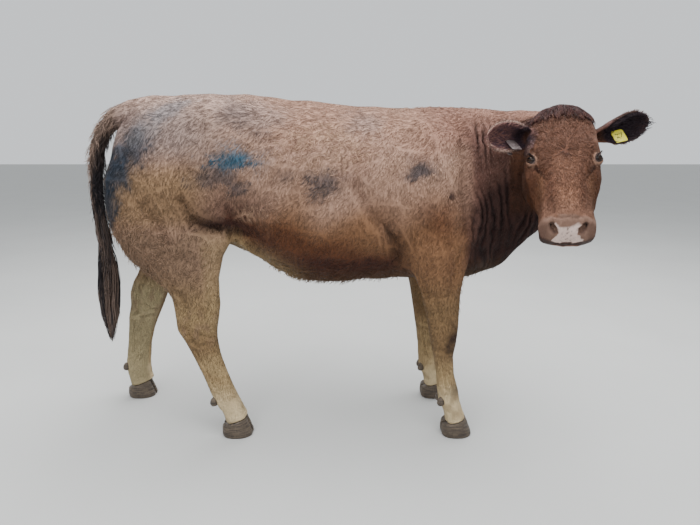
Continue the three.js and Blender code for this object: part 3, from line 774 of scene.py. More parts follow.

# Stains on the flank, and one patch of painted shade low behind the shoulder: x, z, half length, half height,
# lean in degrees, paint, strength and side, which is -1 for the right and 1 for the left.
FLANK_MARKS = [
    (0.225, 1.13, 0.105, 0.062, 30, BLUE_BLACK, 0.85, -1),
    (0.165, 1.04, 0.075, 0.085, 0, BLUE_BLACK, 0.9, -1),
    (0.12, 0.95, 0.055, 0.10, -5, BLUE_BLACK, 0.9, -1),
    (0.275, 1.195, 0.085, 0.05, 30, BLUE_STREAK, 0.55, -1),
    (0.37, 1.262, 0.085, 0.03, 20, BLUE_STREAK, 0.65, -1),
    (0.585, 1.091, 0.105, 0.026, 2, TEAL, 1.0, -1),
    (0.52, 1.03, 0.10, 0.032, 8, CHARCOAL, 0.75, -1),
    (0.615, 0.992, 0.055, 0.022, 20, CHARCOAL, 0.85, -1),
    (0.79, 1.04, 0.04, 0.02, 0, CHARCOAL, 0.55, -1),
    (0.905, 1.008, 0.07, 0.048, 10, CHARCOAL, 0.85, -1),
    (1.238, 1.047, 0.058, 0.025, 25, CHARCOAL, 0.9, -1),
    (1.363, 0.969, 0.009, 0.013, 0, SOOT, 0.9, -1),
    (1.333, 0.906, 0.012, 0.011, 0, SOOT, 0.7, -1),
    # painted shade low behind the shoulder
    (1.27, 0.915, 0.045, 0.035, -20, UNDERLINE_AND_SHADE, 0.35, -1),
    (0.66, 1.235, 0.13, 0.06, -12, DUN_GREY, 0.5, -1),
    (0.61, 1.235, 0.06, 0.04, 20, CHARCOAL, 0.45, -1),
    (0.68, 1.165, 0.05, 0.03, 0, CHARCOAL, 0.3, -1),
    (1.06, 1.215, 0.08, 0.045, 0, DUN_GREY, 0.45, -1),
    (0.14, 1.04, 0.05, 0.10, 0, BLUE_BLACK, 0.7, 1),
    (0.40, 1.12, 0.10, 0.05, 15, DUN_GREY, 0.5, 1),
    (0.72, 1.02, 0.07, 0.03, 10, CHARCOAL, 0.5, 1),
    (1.12, 1.09, 0.06, 0.025, -15, CHARCOAL, 0.45, 1),
]
# Lines where the hide folds in and darkens: points in x and z, reach, strength.
SHADED_LINES = [
    ([(0.40, 0.96), (0.43, 0.90), (0.465, 0.858), (0.52, 0.836), (0.60, 0.825)], 0.024, 0.25),
    ([(0.275, 0.945), (0.295, 0.90), (0.32, 0.855), (0.345, 0.80)], 0.024, 0.16),
    ([(0.12, 1.19), (0.16, 1.225), (0.205, 1.25)], 0.018, 0.6),
    ([(0.53, 0.862), (0.62, 0.835), (0.72, 0.80)], 0.03, 0.35),
    ([(1.00, 1.06), (1.06, 0.97), (1.12, 0.91), (1.15, 0.86)], 0.035, 0.22),
    ([(1.40, 1.16), (1.405, 1.06), (1.40, 0.96), (1.42, 0.84)], 0.016, 0.4),
    ([(1.36, 0.80), (1.375, 0.70), (1.37, 0.60)], 0.012, 0.3),
]
# Pale wavy licks: x, z, half length, half height, lean, strength, side.
LICKS = [
    (0.80, 1.15, 0.07, 0.035, 10, 0.65, -1), (0.93, 1.17, 0.09, 0.05, 5, 0.75, -1),
    (0.93, 1.09, 0.10, 0.045, 0, 0.6, -1), (1.05, 1.12, 0.08, 0.05, -10, 0.5, -1),
    (0.65, 0.905, 0.09, 0.03, 5, 0.6, -1), (0.745, 1.10, 0.035, 0.015, 10, 0.6, -1),
    (0.86, 1.10, 0.12, 0.06, 0, 0.5, 1), (0.6, 1.2, 0.08, 0.05, 0, 0.35, 1),
]


def patch(p, x, z, length, height, lean, seed):
    """1 inside a ragged oval on the flank, 0 outside it."""
    angle = math.radians(lean)
    dx, dz = p.x - x, p.z - z
    a = (dx * math.cos(angle) + dz * math.sin(angle)) / length
    b = (dz * math.cos(angle) - dx * math.sin(angle)) / height
    return smoothstep(
        1.25, 0.6, np.hypot(a, b) + 0.16 * waves(p.own, 0.05, seed) + 0.10 * waves(p.own, 0.018, seed + 50)
    )


def on_side(p, side):
    """1 on one side of the animal: -1 for its right, 1 for its left."""
    return smoothstep(-0.01, 0.03, side * p.y)


def body_colour(p, normals):
    """Paint of the trunk, neck, legs and tail."""
    flank = np.column_stack([p.x, p.z])
    blotch = waves(p.own, 0.22, 21)
    # Pinkish grey towards the top of the back: the coat's own tone and a painted sheen.
    colour = mix(RED_BROWN, PINK_GREY_AND_SHEEN, smoothstep(1.02, 1.26, p.z + 0.03 * blotch))
    colour = mix(colour, BACK_BROWN, smoothstep(0.5, 0.8, p.x) * smoothstep(1.06, 1.16, p.z + 0.03 * blotch))
    colour = mix(colour, WITHERS, smoothstep(1.2, 1.36, p.x) * smoothstep(1.08, 1.2, p.z + 0.02 * blotch))
    colour = mix(colour, GOLDEN, smoothstep(0.98, 0.82, p.z + 0.03 * blotch) * smoothstep(0.5, 0.7, p.x))
    # The belly: its own darker brown, deepened by painted shade.
    colour = mix(
        colour,
        BELLY_AND_SHADE,
        smoothstep(0.84, 0.76, p.z + 0.25 * (p.x - 1.0) + 0.015 * blotch) * (p.x > 0.55)
        * smoothstep(1.22, 1.1, p.x),
    )
    # Along the underline: its own dark brown, and painted shade wherever the hide faces down.
    under = (
        smoothstep(0.762, 0.715, p.z + 0.012 * waves(p.own, 0.09, 22)) * smoothstep(0.56, 0.66, p.x)
        * smoothstep(1.22, 1.15, p.x)
    )
    under = np.maximum(under, smoothstep(-0.35, -0.75, normals[:, 2]) * (p.z > 0.55))
    colour = mix(colour, UNDERLINE_AND_SHADE, 0.85 * under)
    thigh = smoothstep(0.55, 0.42, p.x)
    colour = mix(colour, THIGH_GOLD, thigh * smoothstep(1.12, 1.02, p.z) * smoothstep(0.80, 0.90, p.z))
    colour = mix(colour, THIGH_RED, thigh * smoothstep(0.90, 0.82, p.z + 0.02 * blotch))
    colour = mix(colour, DUN_GREY, 0.6 * thigh * smoothstep(1.05, 1.15, p.z) * smoothstep(1.3, 1.22, p.z))
    # Painted shade in the hollow of the flank and over its furrow.
    hollow = 0.97 * spot_at(p.x, p.z, (0.525, 0.852), (0.11, 0.036))
    colour = mix(colour, DEEP_SHADE, hollow * (1 - p.in_head))
    hollow = spot_at(p.x, p.z, (0.59, 0.92), (0.13, 0.05))
    colour = mix(colour, UNDERLINE_AND_SHADE, 0.8 * hollow * (1 - p.in_head))
    fold = near_line(flank, [(0.575, 0.76), (0.67, 0.71), (0.78, 0.64)], 0.05)
    colour = mix(colour, TAN, 0.6 * fold * smoothstep(0.84, 0.78, p.z))
    # Painted shade in the crease behind the elbow.
    elbow_shade = near_line(flank, [(1.15, 0.82), (1.17, 0.77), (1.185, 0.70)], 0.035)
    colour = mix(colour, DEEP_SHADE, 0.5 * elbow_shade)
    for path, reach, strength in SHADED_LINES:
        colour = mix(colour, UNDERLINE_AND_SHADE, strength * near_line(flank, path, reach) * (p.in_head < 0.5))
    # Painted shade low on the shoulder and arm.
    arm_shade = spot_at(p.x, p.z, (1.33, 0.87), (0.07, 0.07))
    colour = mix(colour, BELLY_AND_SHADE, 0.8 * arm_shade)
    for k, (x, z, length, height, lean, tone, strength, side) in enumerate(FLANK_MARKS):
        colour = mix(
            colour, tone, strength * patch(p, x, z, length, height, lean, 100 + k) * on_side(p, side)
        )
    for k, (x, z, length, height, lean, strength, side) in enumerate(LICKS):
        curled = smoothstep(-0.2, 0.9, waves(p.own * np.array([1.0, 1.0, 2.2]), 0.03, 300 + k))
        share = 0.75 * strength * curled * patch(p, x, z, length, height, lean, 200 + k) * on_side(p, side)
        colour = mix(colour, PALE_LICK, share)
    # The neck: upright stripes, with painted light on the crests of the folds and painted shade in the folds
    # and towards the throat.
    stripe = folds(p)[1]
    neck = smoothstep(1.39, 1.46, p.x) * smoothstep(0.66, 0.74, p.z) * smoothstep(1.27, 1.15, p.z)
    throat = smoothstep(1.03, 0.93, p.z - 0.55 * (p.x - 1.5)) * smoothstep(1.42, 1.50, p.x) * (p.z > 0.5)
    shaded = np.clip(1.15 * throat, 0, 1) * (0.45 + 0.55 * p.right)
    folded = fold_strength(p)
    colour = mix(colour, RED_NECK, 0.88 * neck)
    colour = mix(colour, FOLD_CREST_LIGHT, 0.35 * neck * stripe * folded / 1.3)
    colour = mix(colour, DEEP_SHADE, neck * (0.2 + 0.6 * p.right) * (1 - stripe) ** 0.8 * folded / 1.3)
    colour = mix(colour, DEEP_SHADE, 0.94 * shaded * (1 - 0.2 * stripe))
    # Legs: paler down their length, with dark marks on the joints, a painted highlight on the right hock and
    # painted light on the inner sides of the hind legs.
    lower = smoothstep(0.72, 0.5, p.z)
    colour = mix(colour, SHANK, lower)
    colour = mix(colour, TAN, smoothstep(0.42, 0.26, p.z + 0.02 * blotch))
    colour = mix(colour, CREAM, smoothstep(0.26, 0.12, p.z + 0.015 * blotch))
    strip = (
        (p.x < 0.75) * smoothstep(0.445, 0.475, p.x) * smoothstep(0.86, 0.76, p.z)
        * smoothstep(0.40, 0.5, p.z)
    )
    colour = mix(colour, TAN, 0.55 * strip * (p.x < 0.6))
    knee = (p.x > 0.9) * smoothstep(1.365, 1.39, p.x + 0.006 * blotch) * hill(p.z, 0.41, 0.06)
    fetlock = (p.x > 0.9) * smoothstep(1.38, 1.41, p.x) * hill(p.z, 0.2, 0.035)
    hock_highlight = (p.x < 0.75) * hill(p.z, 0.5, 0.10)
    colour = mix(colour, TAN, 0.5 * hock_highlight * p.right)
    colour = mix(colour, SOOT, np.clip(0.9 * knee + 0.65 * fetlock, 0, 1) * (p.leg > 0))
    colour = mix(colour, SHANK, 0.35 * smoothstep(0.0, 1.4, waves(p.own, 0.06, 24)) * p.leg)
    # Painted light on the inner sides of the hind legs.
    inner = smoothstep(0.2, 0.7, -normals[:, 1] * np.sign(p.y)) * p.leg
    colour = mix(colour, INNER_LEG_LIGHT, 0.95 * inner * p.hind)
    tendon = (
        (p.x < 0.75) * smoothstep(0.30, 0.9, p.leg) * hill(p.z, 0.47, 0.08)
        * smoothstep(0.0, 1.2, waves(p.own, 0.05, 25))
    )
    colour = mix(colour, THIGH_RED, 0.5 * tendon)
    # The tail: brown, dark on its inner side and towards the switch.
    tail = mix(TAIL_BROWN, SWITCH_DARK, smoothstep(1.16, 1.02, p.z) * smoothstep(-0.95, -0.5, normals[:, 0]))
    tail = mix(tail, SWITCH_DARK, smoothstep(1.02, 0.9, p.z))
    tail = mix(tail, SWITCH_DARK, 0.85 * smoothstep(-0.3, 0.4, normals[:, 0]) * smoothstep(1.25, 1.17, p.z))
    colour = mix(
        colour, tail, np.maximum(p.tail, (p.x < 0.05) * (p.z < 1.0) * (p.z > 0.3) * (np.abs(p.y) < 0.06))
    )
    return colour


# Outline of the bare pad of the nose: u and half its width.
PAD_EDGE = np.array([
    (-0.016, 0.030), (-0.022, 0.040), (-0.030, 0.038), (-0.040, 0.029), (-0.050, 0.028),
    (-0.058, 0.034), (-0.068, 0.043), (-0.076, 0.045), (-0.084, 0.036), (-0.090, 0.02),
])


def nose_pad(p):
    """1 on the bare pink skin between the nostrils and down to the lip."""
    half = np.interp(-p.u, -PAD_EDGE[:, 0], PAD_EDGE[:, 1])
    ragged = 0.0015 * waves(p.head, 0.02, 31)
    top = -0.031 + 0.006 * smoothstep(0.010, 0.034, np.abs(p.s))
    level = smoothstep(-0.091, -0.086, p.u + ragged) * smoothstep(top + 0.003, top - 0.003, p.u + ragged)
    return (
        p.in_head * smoothstep(0.408, 0.416, p.t)
        * smoothstep(half + 0.002, half - 0.002, np.abs(p.s) + ragged) * level
    )


def head_colour(p):
    """Paint of the head without its ears."""
    side, place = np.abs(p.s), half_head(p)
    colour = mix(FACE, POLL, smoothstep(0.06, -0.02, p.t))
    colour = mix(
        colour,
        CHEEK,
        0.75 * smoothstep(0.045, 0.095, side) * smoothstep(0.17, 0.25, p.t) * smoothstep(0.40, 0.33, p.t),
    )
    colour = mix(colour, CHEEK, 0.7 * smoothstep(-0.05, -0.12, p.u) * smoothstep(0.40, 0.3, p.t))
    # The nose bridge paler: its own pinkish brown and a painted highlight along the ridge.
    colour = mix(
        colour,
        NOSE_BRIDGE,
        smoothstep(0.045, 0.02, side) * smoothstep(0.24, 0.32, p.t) * smoothstep(0.41, 0.34, p.t),
    )
    colour = mix(colour, NOSE_BRIDGE, 0.6 * smoothstep(0.05, 0.02, side) * hill(p.t, 0.21, 0.05))
    colour = mix(colour, RED_BROWN, 0.15 * smoothstep(0.30, 0.38, p.t) * smoothstep(0.42, 0.40, p.t))
    gold = spot_at(p.t, side, (0.27, 0.074), (0.06, 0.014))
    colour = mix(colour, GOLDEN, 0.25 * gold)
    # Painted shade along the sides of the nose bone.
    ridge = [(0.215, 0.072, -0.012), (0.26, 0.057, 0.0), (0.31, 0.049, 0.0), (0.37, 0.047, 0.0)]
    colour = mix(colour, CHEEK, 0.6 * near_line(place, ridge, 0.013))
    # Painted shade under the jaw.
    colour = mix(colour, DEEP_SHADE, 0.5 * smoothstep(-0.14, -0.20, p.u) * smoothstep(0.42, 0.36, p.t))
    # Down the tear groove: dark tear staining and painted shade.
    tear = near_line(place, [(0.195, 0.092, -0.03), (0.22, 0.080, -0.02), (0.25, 0.066, -0.008)], 0.009)
    colour = mix(colour, DEEP_SHADE, 0.75 * tear)
    colour = mix(colour, POLL, 0.5 * spot_at(p.t, side, (0.158, 0), (0.016, 0.012)))
    # The muzzle: tan over the nostrils, dark lips, pink pad and chin.
    colour = mix(colour, MUZZLE_TAN, smoothstep(0.392, 0.405, p.t + 0.003 * waves(p.head, 0.03, 32)))
    colour = mix(colour, POLL, smoothstep(0.405, 0.42, p.t) * smoothstep(0.050, 0.066, side) * 0.35)
    colour = mix(
        colour,
        LIP_DARK,
        smoothstep(0.40, 0.42, p.t) * smoothstep(-0.060, -0.082, p.u + 0.15 * (0.075 - side)) * 0.9,
    )
    mouth = near_line(place, MOUTH_LINE, 0.005)
    colour = mix(
        colour,
        CHIN_PINK,
        smoothstep(0.41, 0.43, p.t) * smoothstep(-0.103, -0.108, p.u) * smoothstep(0.05, 0.03, side),
    )
    speckle = smoothstep(0.7, 1.3, waves(p.head, 0.010, 33)) * smoothstep(0.03, 0.0, side)
    colour = mix(colour, mix(NOSE_PINK, LIP_DARK, 0.6 * speckle), nose_pad(p))
    # Dark along the mouth: dark lip skin and painted shade in its crease.
    colour = mix(colour, SOOT, np.clip(mouth * 0.9, 0, 1) * (p.t > 0.36))
    # Painted shade in and round the nostrils.
    hollow = line_distance(place, NOSTRIL_LINE)[0]
    colour = mix(colour, LIP_DARK, 0.5 * smoothstep(0.014, 0.008, hollow) * (1 - nose_pad(p)))
    colour = mix(colour, BLACK, 0.9 * smoothstep(0.0072, 0.0048, hollow))
    away = lids_near(p, 0.06, 0.01)
    colour = mix(colour, LID_PALE, 0.8 * smoothstep(0.0115, 0.008, away) * smoothstep(0.0, 0.003, away))
    return mix(colour, SOOT, smoothstep(0.0028, 0.0012, away))


def ear_colour(p, normals):
    """Paint of the ears: dark in the cup, brown behind, pale along the rim; and 1 in the cup, 0 behind it."""
    colour, hollow = np.tile(EAR_BACK, (len(p.x), 1)), np.zeros(len(p.x))
    for name, ear in p.ears.items():
        axes = ear_axes(EARS[name])
        along, across, out = ear.place.T
        radius = cup_radius(along)
        from_axis = np.column_stack([across, out - CUP_AXIS * radius])
        outwards = (normals @ axes.T)[:, 1:]
        facing = (outwards * unit(from_axis)).sum(1)
        inner = smoothstep(0.3, -0.3, facing)
        near_rim = smoothstep(0.016, 0.004, rim_distance(ear.place)) * smoothstep(0.035, 0.07, along)
        near_rim = near_rim + smoothstep(0.168, 0.182, along)
        tone = mix(EAR_BACK, EAR_DARK, inner)
        tone = mix(tone, EAR_BACK, 0.5 * inner * smoothstep(0.12, 0.17, along))
        # The rims' pale hair, strong on the right ear and faint on the left; the right ear's cup painted
        # lighter and the whole left ear darker: painted light and painted shade.
        tone = mix(tone, EAR_RIM, np.clip(near_rim, 0, 1) * (0.75 if name == "right" else 0.15))
        clear = smoothstep(0.02, 0.06, along)
        tone = tone * (0.75 + (1.5 * inner - 0.1) * clear if name == "right" else 0.7 - 0.25 * clear)[:, None]
        colour = np.where((ear.mask > 0)[:, None], tone, colour)
        hollow = np.where(ear.mask > 0, inner, hollow)
    return colour, hollow


def hide_colour(p, normals):
    """Paint of the whole hide at its points."""
    colour = mix(body_colour(p, normals), head_colour(p), p.in_head)
    return mix(colour, ear_colour(p, normals)[0], p.ear)


def bare_skin(p):
    """1 where the skin has no hair: the nose, the mouth, the nostrils and the rims of the lids."""
    place = half_head(p)
    bare = np.maximum(nose_pad(p), p.in_head * smoothstep(0.007, 0.004, line_distance(place, MOUTH_LINE)[0]))
    bare = np.maximum(bare, p.in_head * smoothstep(0.0085, 0.006, line_distance(place, NOSTRIL_LINE)[0]))
    bare = np.maximum(bare, 0.8 * p.in_head * smoothstep(0.42, 0.44, p.t) * smoothstep(-0.07, -0.085, p.u))
    return np.maximum(bare, smoothstep(0.0045, 0.003, lids_near(p, 0.04, 0.04)))


# ---- hair ----
PATCH = 0.003  # width of a tuft's patch on the unwrap of its part of the skin
FULL_TURN = 6.28  # of the waves in long hair
WHORL_T = 0.152  # down the face to the whorl of the forehead
LEG_COAT_TOP = 0.62  # height up to which the coat belongs to a leg


def locks(name, path, side, up, width, ridge, tones, roots):
    """Closed locks, one to each row of `path` (locks, stations, 3).

    A station is a flat triangle: a left and a right edge, `width` apart across `side`, and a ridge that
    stands `ridge` along `up`. The last station is the tip. `tones` (locks, stations, 3) is the paint of each
    station, and `roots` (locks, 2) the place of each root on the unwrap of the skin.
    """
    count, stations, _ = path.shape
    body = path[:, :-1]
    half = side * (width / 2)[..., None]
    rings = np.stack([body - half, body + half, body + up * ridge[..., None]], 2)
    points = np.concatenate([rings.reshape(count, -1, 3), path[:, -1:]], 1)
    size = points.shape[1]
    quads, triangles = [], [(0, 1, 2)]
    for k in range(stations - 2):
        for a, b in ((0, 1), (1, 2), (2, 0)):
            quads.append((3 * k + b, 3 * k + a, 3 * k + 3 + a, 3 * k + 3 + b))
    last = 3 * (stations - 2)
    for a, b in ((0, 1), (1, 2), (2, 0)):
        triangles.append((last + b, last + a, size - 1))
    quads, triangles = np.array(quads, int).reshape(-1, 4), np.array(triangles)
    first = np.arange(count)[:, None, None] * size
    # A lock whose ridge lies to the other side of its run has its faces turned round.
    run = np.cross(side[:, 0], up[:, 0])
    flip = (run * (path[:, 1] - path[:, 0])).sum(1) < 0
    all_quads = np.where(flip[:, None, None], quads[None, :, ::-1], quads[None]) + first
    all_triangles = np.where(flip[:, None, None], triangles[None, :, ::-1], triangles[None]) + first
    ring_tones = np.repeat(tones[:, :-1], 3, axis=1)
    colours = np.concatenate([ring_tones, tones[:, -1:]], 1).reshape(-1, 3)
    piece = new_piece(
        name, points.reshape(-1, 3), all_quads.reshape(-1, 4), all_triangles.reshape(-1, 3), colours
    )
    step = np.repeat(np.linspace(-0.5, 0.5, stations), [3] * (stations - 1) + [1])
    across = np.array([-0.5, 0.5, 0.0] * (stations - 1) + [0.0])
    uv = roots[:, None, :] + PATCH * np.column_stack([across, step])[None]
    unwrap(piece.data, uv.reshape(-1, 2))
    return piece


def unwrap(mesh, uv):
    """The OFBake map of a mesh, from a place for each of its points."""
    corners = np.empty(len(mesh.loops), np.int32)
    mesh.loops.foreach_get("vertex_index", corners)
    layer = mesh.uv_layers.new(name="OFBake")
    layer.data.foreach_set("uv", np.asarray(uv, np.float32)[corners].ravel())


def on_skin(points, lift=0.0):
    """The nearest places on the skin to the points, or that far above them."""
    probe = new_piece("probe", points)
    wrap = probe.modifiers.new("wrap", "SHRINKWRAP")
    wrap.target, wrap.wrap_method, wrap.offset = skin, "NEAREST_SURFACEPOINT", lift
    wrap.wrap_mode = "ABOVE_SURFACE"
    found = points_of(made(probe).data)
    bpy.data.objects.remove(probe)
    return found


def skin_under(points):
    """The nearest places on the skin and its normals there."""
    low, high = on_skin(points), on_skin(points, 0.01)
    return low, unit(high - low)


def crosswise(path, out):
    """For each stretch of the paths, the way across it and the way up from it, given ways out of the skin."""
    runs = unit(path[:, 1:] - path[:, :-1])
    side = unit(np.cross(out, runs))
    return side, np.cross(runs, side)


class Hide:
    """The finished skin as arrays, for hair to be rooted in."""

    def __init__(self, mesh):
        self.points, self.normals, self.triangles = points_of(mesh), normals_of(mesh), triangles_of(mesh)
        a, b, c = (self.points[self.triangles[:, k]] for k in range(3))
        self.area = np.linalg.norm(np.cross(b - a, c - a), axis=1) / 2
        self.facing = unit(np.cross(b - a, c - a))
        self.at_middle = places_of((a + b + c) / 3)

    def roots(self, per_area):
        """Points spread over the skin with their normals, `per_area` to a square metre of each triangle."""
        total = np.cumsum(self.area * per_area)
        marks = np.arange(int(total[-1])) + random.uniform(0, 1, int(total[-1]))
        which = np.clip(np.searchsorted(total, marks), 0, len(total) - 1)
        f, g = random.uniform(0, 1, (2, len(which)))
        over = f + g > 1
        f, g = np.where(over, 1 - f, f), np.where(over, 1 - g, g)
        weights = np.stack([1 - f - g, f, g], 1)[..., None]
        corners = self.triangles[which]
        return (self.points[corners] * weights).sum(1), unit((self.normals[corners] * weights).sum(1))


def spacing(p):
    """How far apart the tufts of the coat stand."""
    gap = mix(0.0046, 0.0040, smoothstep(0.7, 0.5, p.z))
    return by_place(gap, p, foot=0.0034, head=0.0031, muzzle=0.0026, ear=0.0036, tail=0.0036)


def tuft_length(p):
    """How long the tufts of the coat are."""
    length = mix(0.018, 0.016, p.leg)
    return by_place(length, p, foot=0.0095, head=0.0115, muzzle=0.0055, ear=0.012, tail=0.026)


def ear_ways(p, ahead, aside, out):
    """Ways on the ears: so much along the ear, so much away from its middle and so much out of its cup."""
    way = np.zeros((len(p.x), 3))
    for name, ear in p.ears.items():
        full = np.ones(len(p.x))
        spread = np.column_stack([ahead * full, aside * np.sign(ear.place[:, 1]), out * full])
        way = np.where((ear.mask > 0)[:, None], spread @ ear_axes(EARS[name]), way)
    return way


def laid(ways, normals, share=1.0):
    """Ways laid on the skin: without a share of what they have along the normals."""
    return unit(ways - share * normals * (ways * normals).sum(1)[:, None])


def lie(p, normals):
    """The way the hair lies: back and down the body, down the legs, out from the whorl of the forehead."""
    base = np.zeros((len(p.x), 3))
    high = smoothstep(1.10, 1.29, p.z)
    base[:, 0] = -1.0
    base[:, 2] = mix(-1.7, -0.08, high)
    thigh = smoothstep(0.5, 0.36, p.x) * smoothstep(1.2, 1.0, p.z)
    base = mix(base, np.array([-0.25, 0.0, -1.0]), thigh)
    shoulder = hill(p.x, 1.27, 0.14) * smoothstep(1.2, 1.0, p.z)
    base = mix(base, np.array([-0.35, 0.0, -1.0]), shoulder)
    base = mix(base, np.array([-0.45, 0.0, -1.0]), p.neck)
    flank = spot_at(p.x, p.z, (0.62, 0.88), (0.08, 0.1))
    base = mix(base, np.array([0.5, 0.0, -1.0]), flank)
    base = mix(base, np.array([-0.12, 0.0, -1.0]), smoothstep(0.72, 0.55, p.z))
    ahead = line_point(TAIL_LINE, np.clip(p.down_tail + 0.05, 0, 1)) - line_point(TAIL_LINE, p.down_tail)
    base = mix(base, unit(np.column_stack([ahead[:, 0], 0 * ahead[:, 0], ahead[:, 1]])), p.tail)
    whorl = np.column_stack([p.t - WHORL_T, p.s, 0 * p.t])
    below = smoothstep(0.03, 0.14, np.hypot(p.t - WHORL_T, p.s)) * (p.t > WHORL_T)
    face = mix(unit(whorl), np.array([1.0, 0.0, -0.15]), below)
    face = mix(
        face,
        np.array([-0.5, 0.0, -0.8]),
        smoothstep(0.098, 0.112, np.abs(p.s)) * smoothstep(-0.04, -0.09, p.u),
    )
    face = mix(face, np.array([1.0, 0.0, -0.1]), smoothstep(0.34, 0.38, p.t))
    base = mix(base, face @ HEAD_AXES, p.in_head)
    base = mix(base, ear_ways(p, 1.0, 0.55, 0.25), p.ear)
    return laid(base, normals)


def curliness(p):
    """0 where the coat is flat, 1 where it is rough and curly."""
    thigh = smoothstep(0.42, 0.3, p.x) * smoothstep(0.93, 0.85, p.z) * smoothstep(0.58, 0.66, p.z)
    licked = sum(
        strength * spot_at(p.x, p.z, (x, z), (length, 1.3 * height)) * on_side(p, side)
        for x, z, length, height, _, strength, side in LICKS
    )
    stained = spot_at(p.x, p.z, (0.9, 1.0), (0.06, 0.05)) * p.right
    belly = smoothstep(0.74, 0.68, p.z) * smoothstep(0.56, 0.62, p.x) * smoothstep(1.2, 1.1, p.x)
    brow = p.in_head * smoothstep(0.20, 0.14, p.t) * 0.5
    return np.clip(np.maximum.reduce([thigh, 0.8 * licked, 0.6 * stained, 0.7 * belly, brow]), 0, 1)


def turned(ways, normals, angles):
    """Ways turned round the normals by angles."""
    return ways * np.cos(angles)[:, None] + np.cross(normals, ways) * np.sin(angles)[:, None]


def unwrapped(p):
    """A place for each root on an unwrap of its part of the skin: round it, and along it."""
    on_legs = p.z < LEG_COAT_TOP
    around = np.arctan2(np.abs(p.y) - 0.165, p.x - np.where(p.hind, 0.35, 1.36))
    trunk_turn = np.arctan2(p.y, p.z - 0.96)
    head_turn = np.arctan2(p.s, p.u + 0.09)
    ear_turn = 0.0
    for ear in p.ears.values():
        ear_turn = np.where(ear.mask > 0, np.arctan2(ear.place[:, 1], ear.place[:, 2]), ear_turn)
    along_ear = np.maximum(*[np.where(ear.mask > 0, ear.place[:, 0], -1) for ear in p.ears.values()])
    parts = [p.ear > 0, p.in_head > 0.5, on_legs]
    turn = np.select(parts, [ear_turn, head_turn, around], trunk_turn)
    along = np.select(parts, [along_ear, p.t, p.z], p.x)
    place = np.column_stack([turn, along])
    low, high = place.min(0), place.max(0)
    return 0.01 + 0.98 * (place - low) / np.maximum(high - low, 1e-6)


def coat_pieces(hide):
    """The coat of short hair: flat tufts, each a root and a tip, that lie on the skin and overlap."""
    at = hide.at_middle
    bald = bare_skin(at)
    deep = (at.z < 0.045) | ((at.tail > 0.5) & (at.z < 0.84))
    per_area = np.where(deep, 0, (1 - smoothstep(0.2, 0.6, bald)) / spacing(at) ** 2)
    roots, normals = hide.roots(per_area)
    p = places_of(roots)
    curly = curliness(p)
    hollow = ear_colour(p, normals)[1] * p.ear
    length = tuft_length(p) * random.uniform(0.7, 1.3, len(roots))
    width = 0.085 * length + 0.0006
    depth = coat_depth(p) * random.uniform(0.5, 1.15, len(roots))
    angle = (
        0.14 * waves(p.own, 0.12, 41) + 0.07 * waves(p.own, 0.045, 42) + 0.06 * random.normal(size=len(roots))
    )
    way = turned(
        lie(p, normals), normals, angle * mix(1.0, 0.6, p.leg) + curly * 0.7 * waves(p.own, 0.028, 43)
    )
    tip, tip_normal = skin_under(roots + way * length[:, None])
    tip = tip + tip_normal * (0.0006 + 0.26 * depth)[:, None]
    path = np.stack([roots - normals * 0.0003, tip], 1)
    side = np.cross(normals, way)[:, None]
    colour = hide_colour(p, normals)
    shade = (
        random.normal(1.0, 0.05, len(roots)) + 0.04 * waves(p.own, 0.06, 45) + 0.03 * waves(p.own, 0.018, 46)
    )
    pale = random.uniform(0, 1, len(roots)) > 0.95
    # Tufts inside the cups of the ears a little darker, as painted shade.
    shade = np.clip(shade, 0.6, 1.5) * mix(1.0, 0.9, hollow) * np.where(pale, 1.14, 1.0)
    tones = colour[:, None, :] * shade[:, None, None] * np.array([0.92, 1.06])[None, :, None]
    parts = {
        "coat_head": p.in_head > 0.5,
        "coat_ears": p.ear > 0.5,
        "coat_tail": p.tail > 0.5,
        "coat_legs_hind": (p.z < LEG_COAT_TOP) & p.hind,
        "coat_legs_fore": (p.z < LEG_COAT_TOP) & ~p.hind,
        "coat_neck": p.x > 1.36,
        "coat_shoulder_right": (p.x > 1.02) & (p.y < 0),
        "coat_shoulder_left": p.x > 1.02,
        "coat_barrel_right": (p.x > 0.62) & (p.y < 0),
        "coat_barrel_left": p.x > 0.62,
        "coat_rump_right": p.y < 0,
        "coat_rump_left": p.y >= 0,
    }
    free = np.ones(len(roots), bool)
    pieces = []
    for name, chosen in parts.items():
        own = free & chosen
        free &= ~own
        tuft, place = width[own, None], unwrapped(places_of(roots[own]))
        pieces.append(
            locks(name, path[own], side[own], normals[own, None], tuft, 0.15 * tuft, tones[own], place)
        )
    return pieces


def curls(hide, side):
    """Curled and licked hair on one flank: longer locks that wind over the coat in groups."""
    at = hide.at_middle
    rough = curliness(at) * (at.in_head < 0.5) * (at.ear < 0.5) * ((at.y < 0) == (side < 0))
    roots, normals, p = chosen_roots(hide, 13000 * rough**1.6)
    way = turned(
        lie(p, normals), normals, 1.1 * waves(p.own, 0.05, 71) + 0.35 * random.normal(size=len(roots))
    )
    length = random.uniform(0.022, 0.046, len(roots)) * mix(0.75, 1.0, smoothstep(0.9, 1.0, p.z))
    turn = 1.2 * waves(p.own, 0.035, 72) + 0.5 * random.normal(size=len(roots))
    colour = hide_colour(p, normals)
    # Curls paler higher up the flank: pale hair and a painted highlight.
    pale = mix(0.05, 0.4, smoothstep(0.9, 1.05, p.z)) * random.uniform(0, 1, len(roots)) ** 2
    colour = mix(colour, PALE_LICK, pale)
    name = "curls_right" if side < 0 else "curls_left"
    return combed(name, roots, way, normals, length, 0.0021, colour, 0.0042, turn)


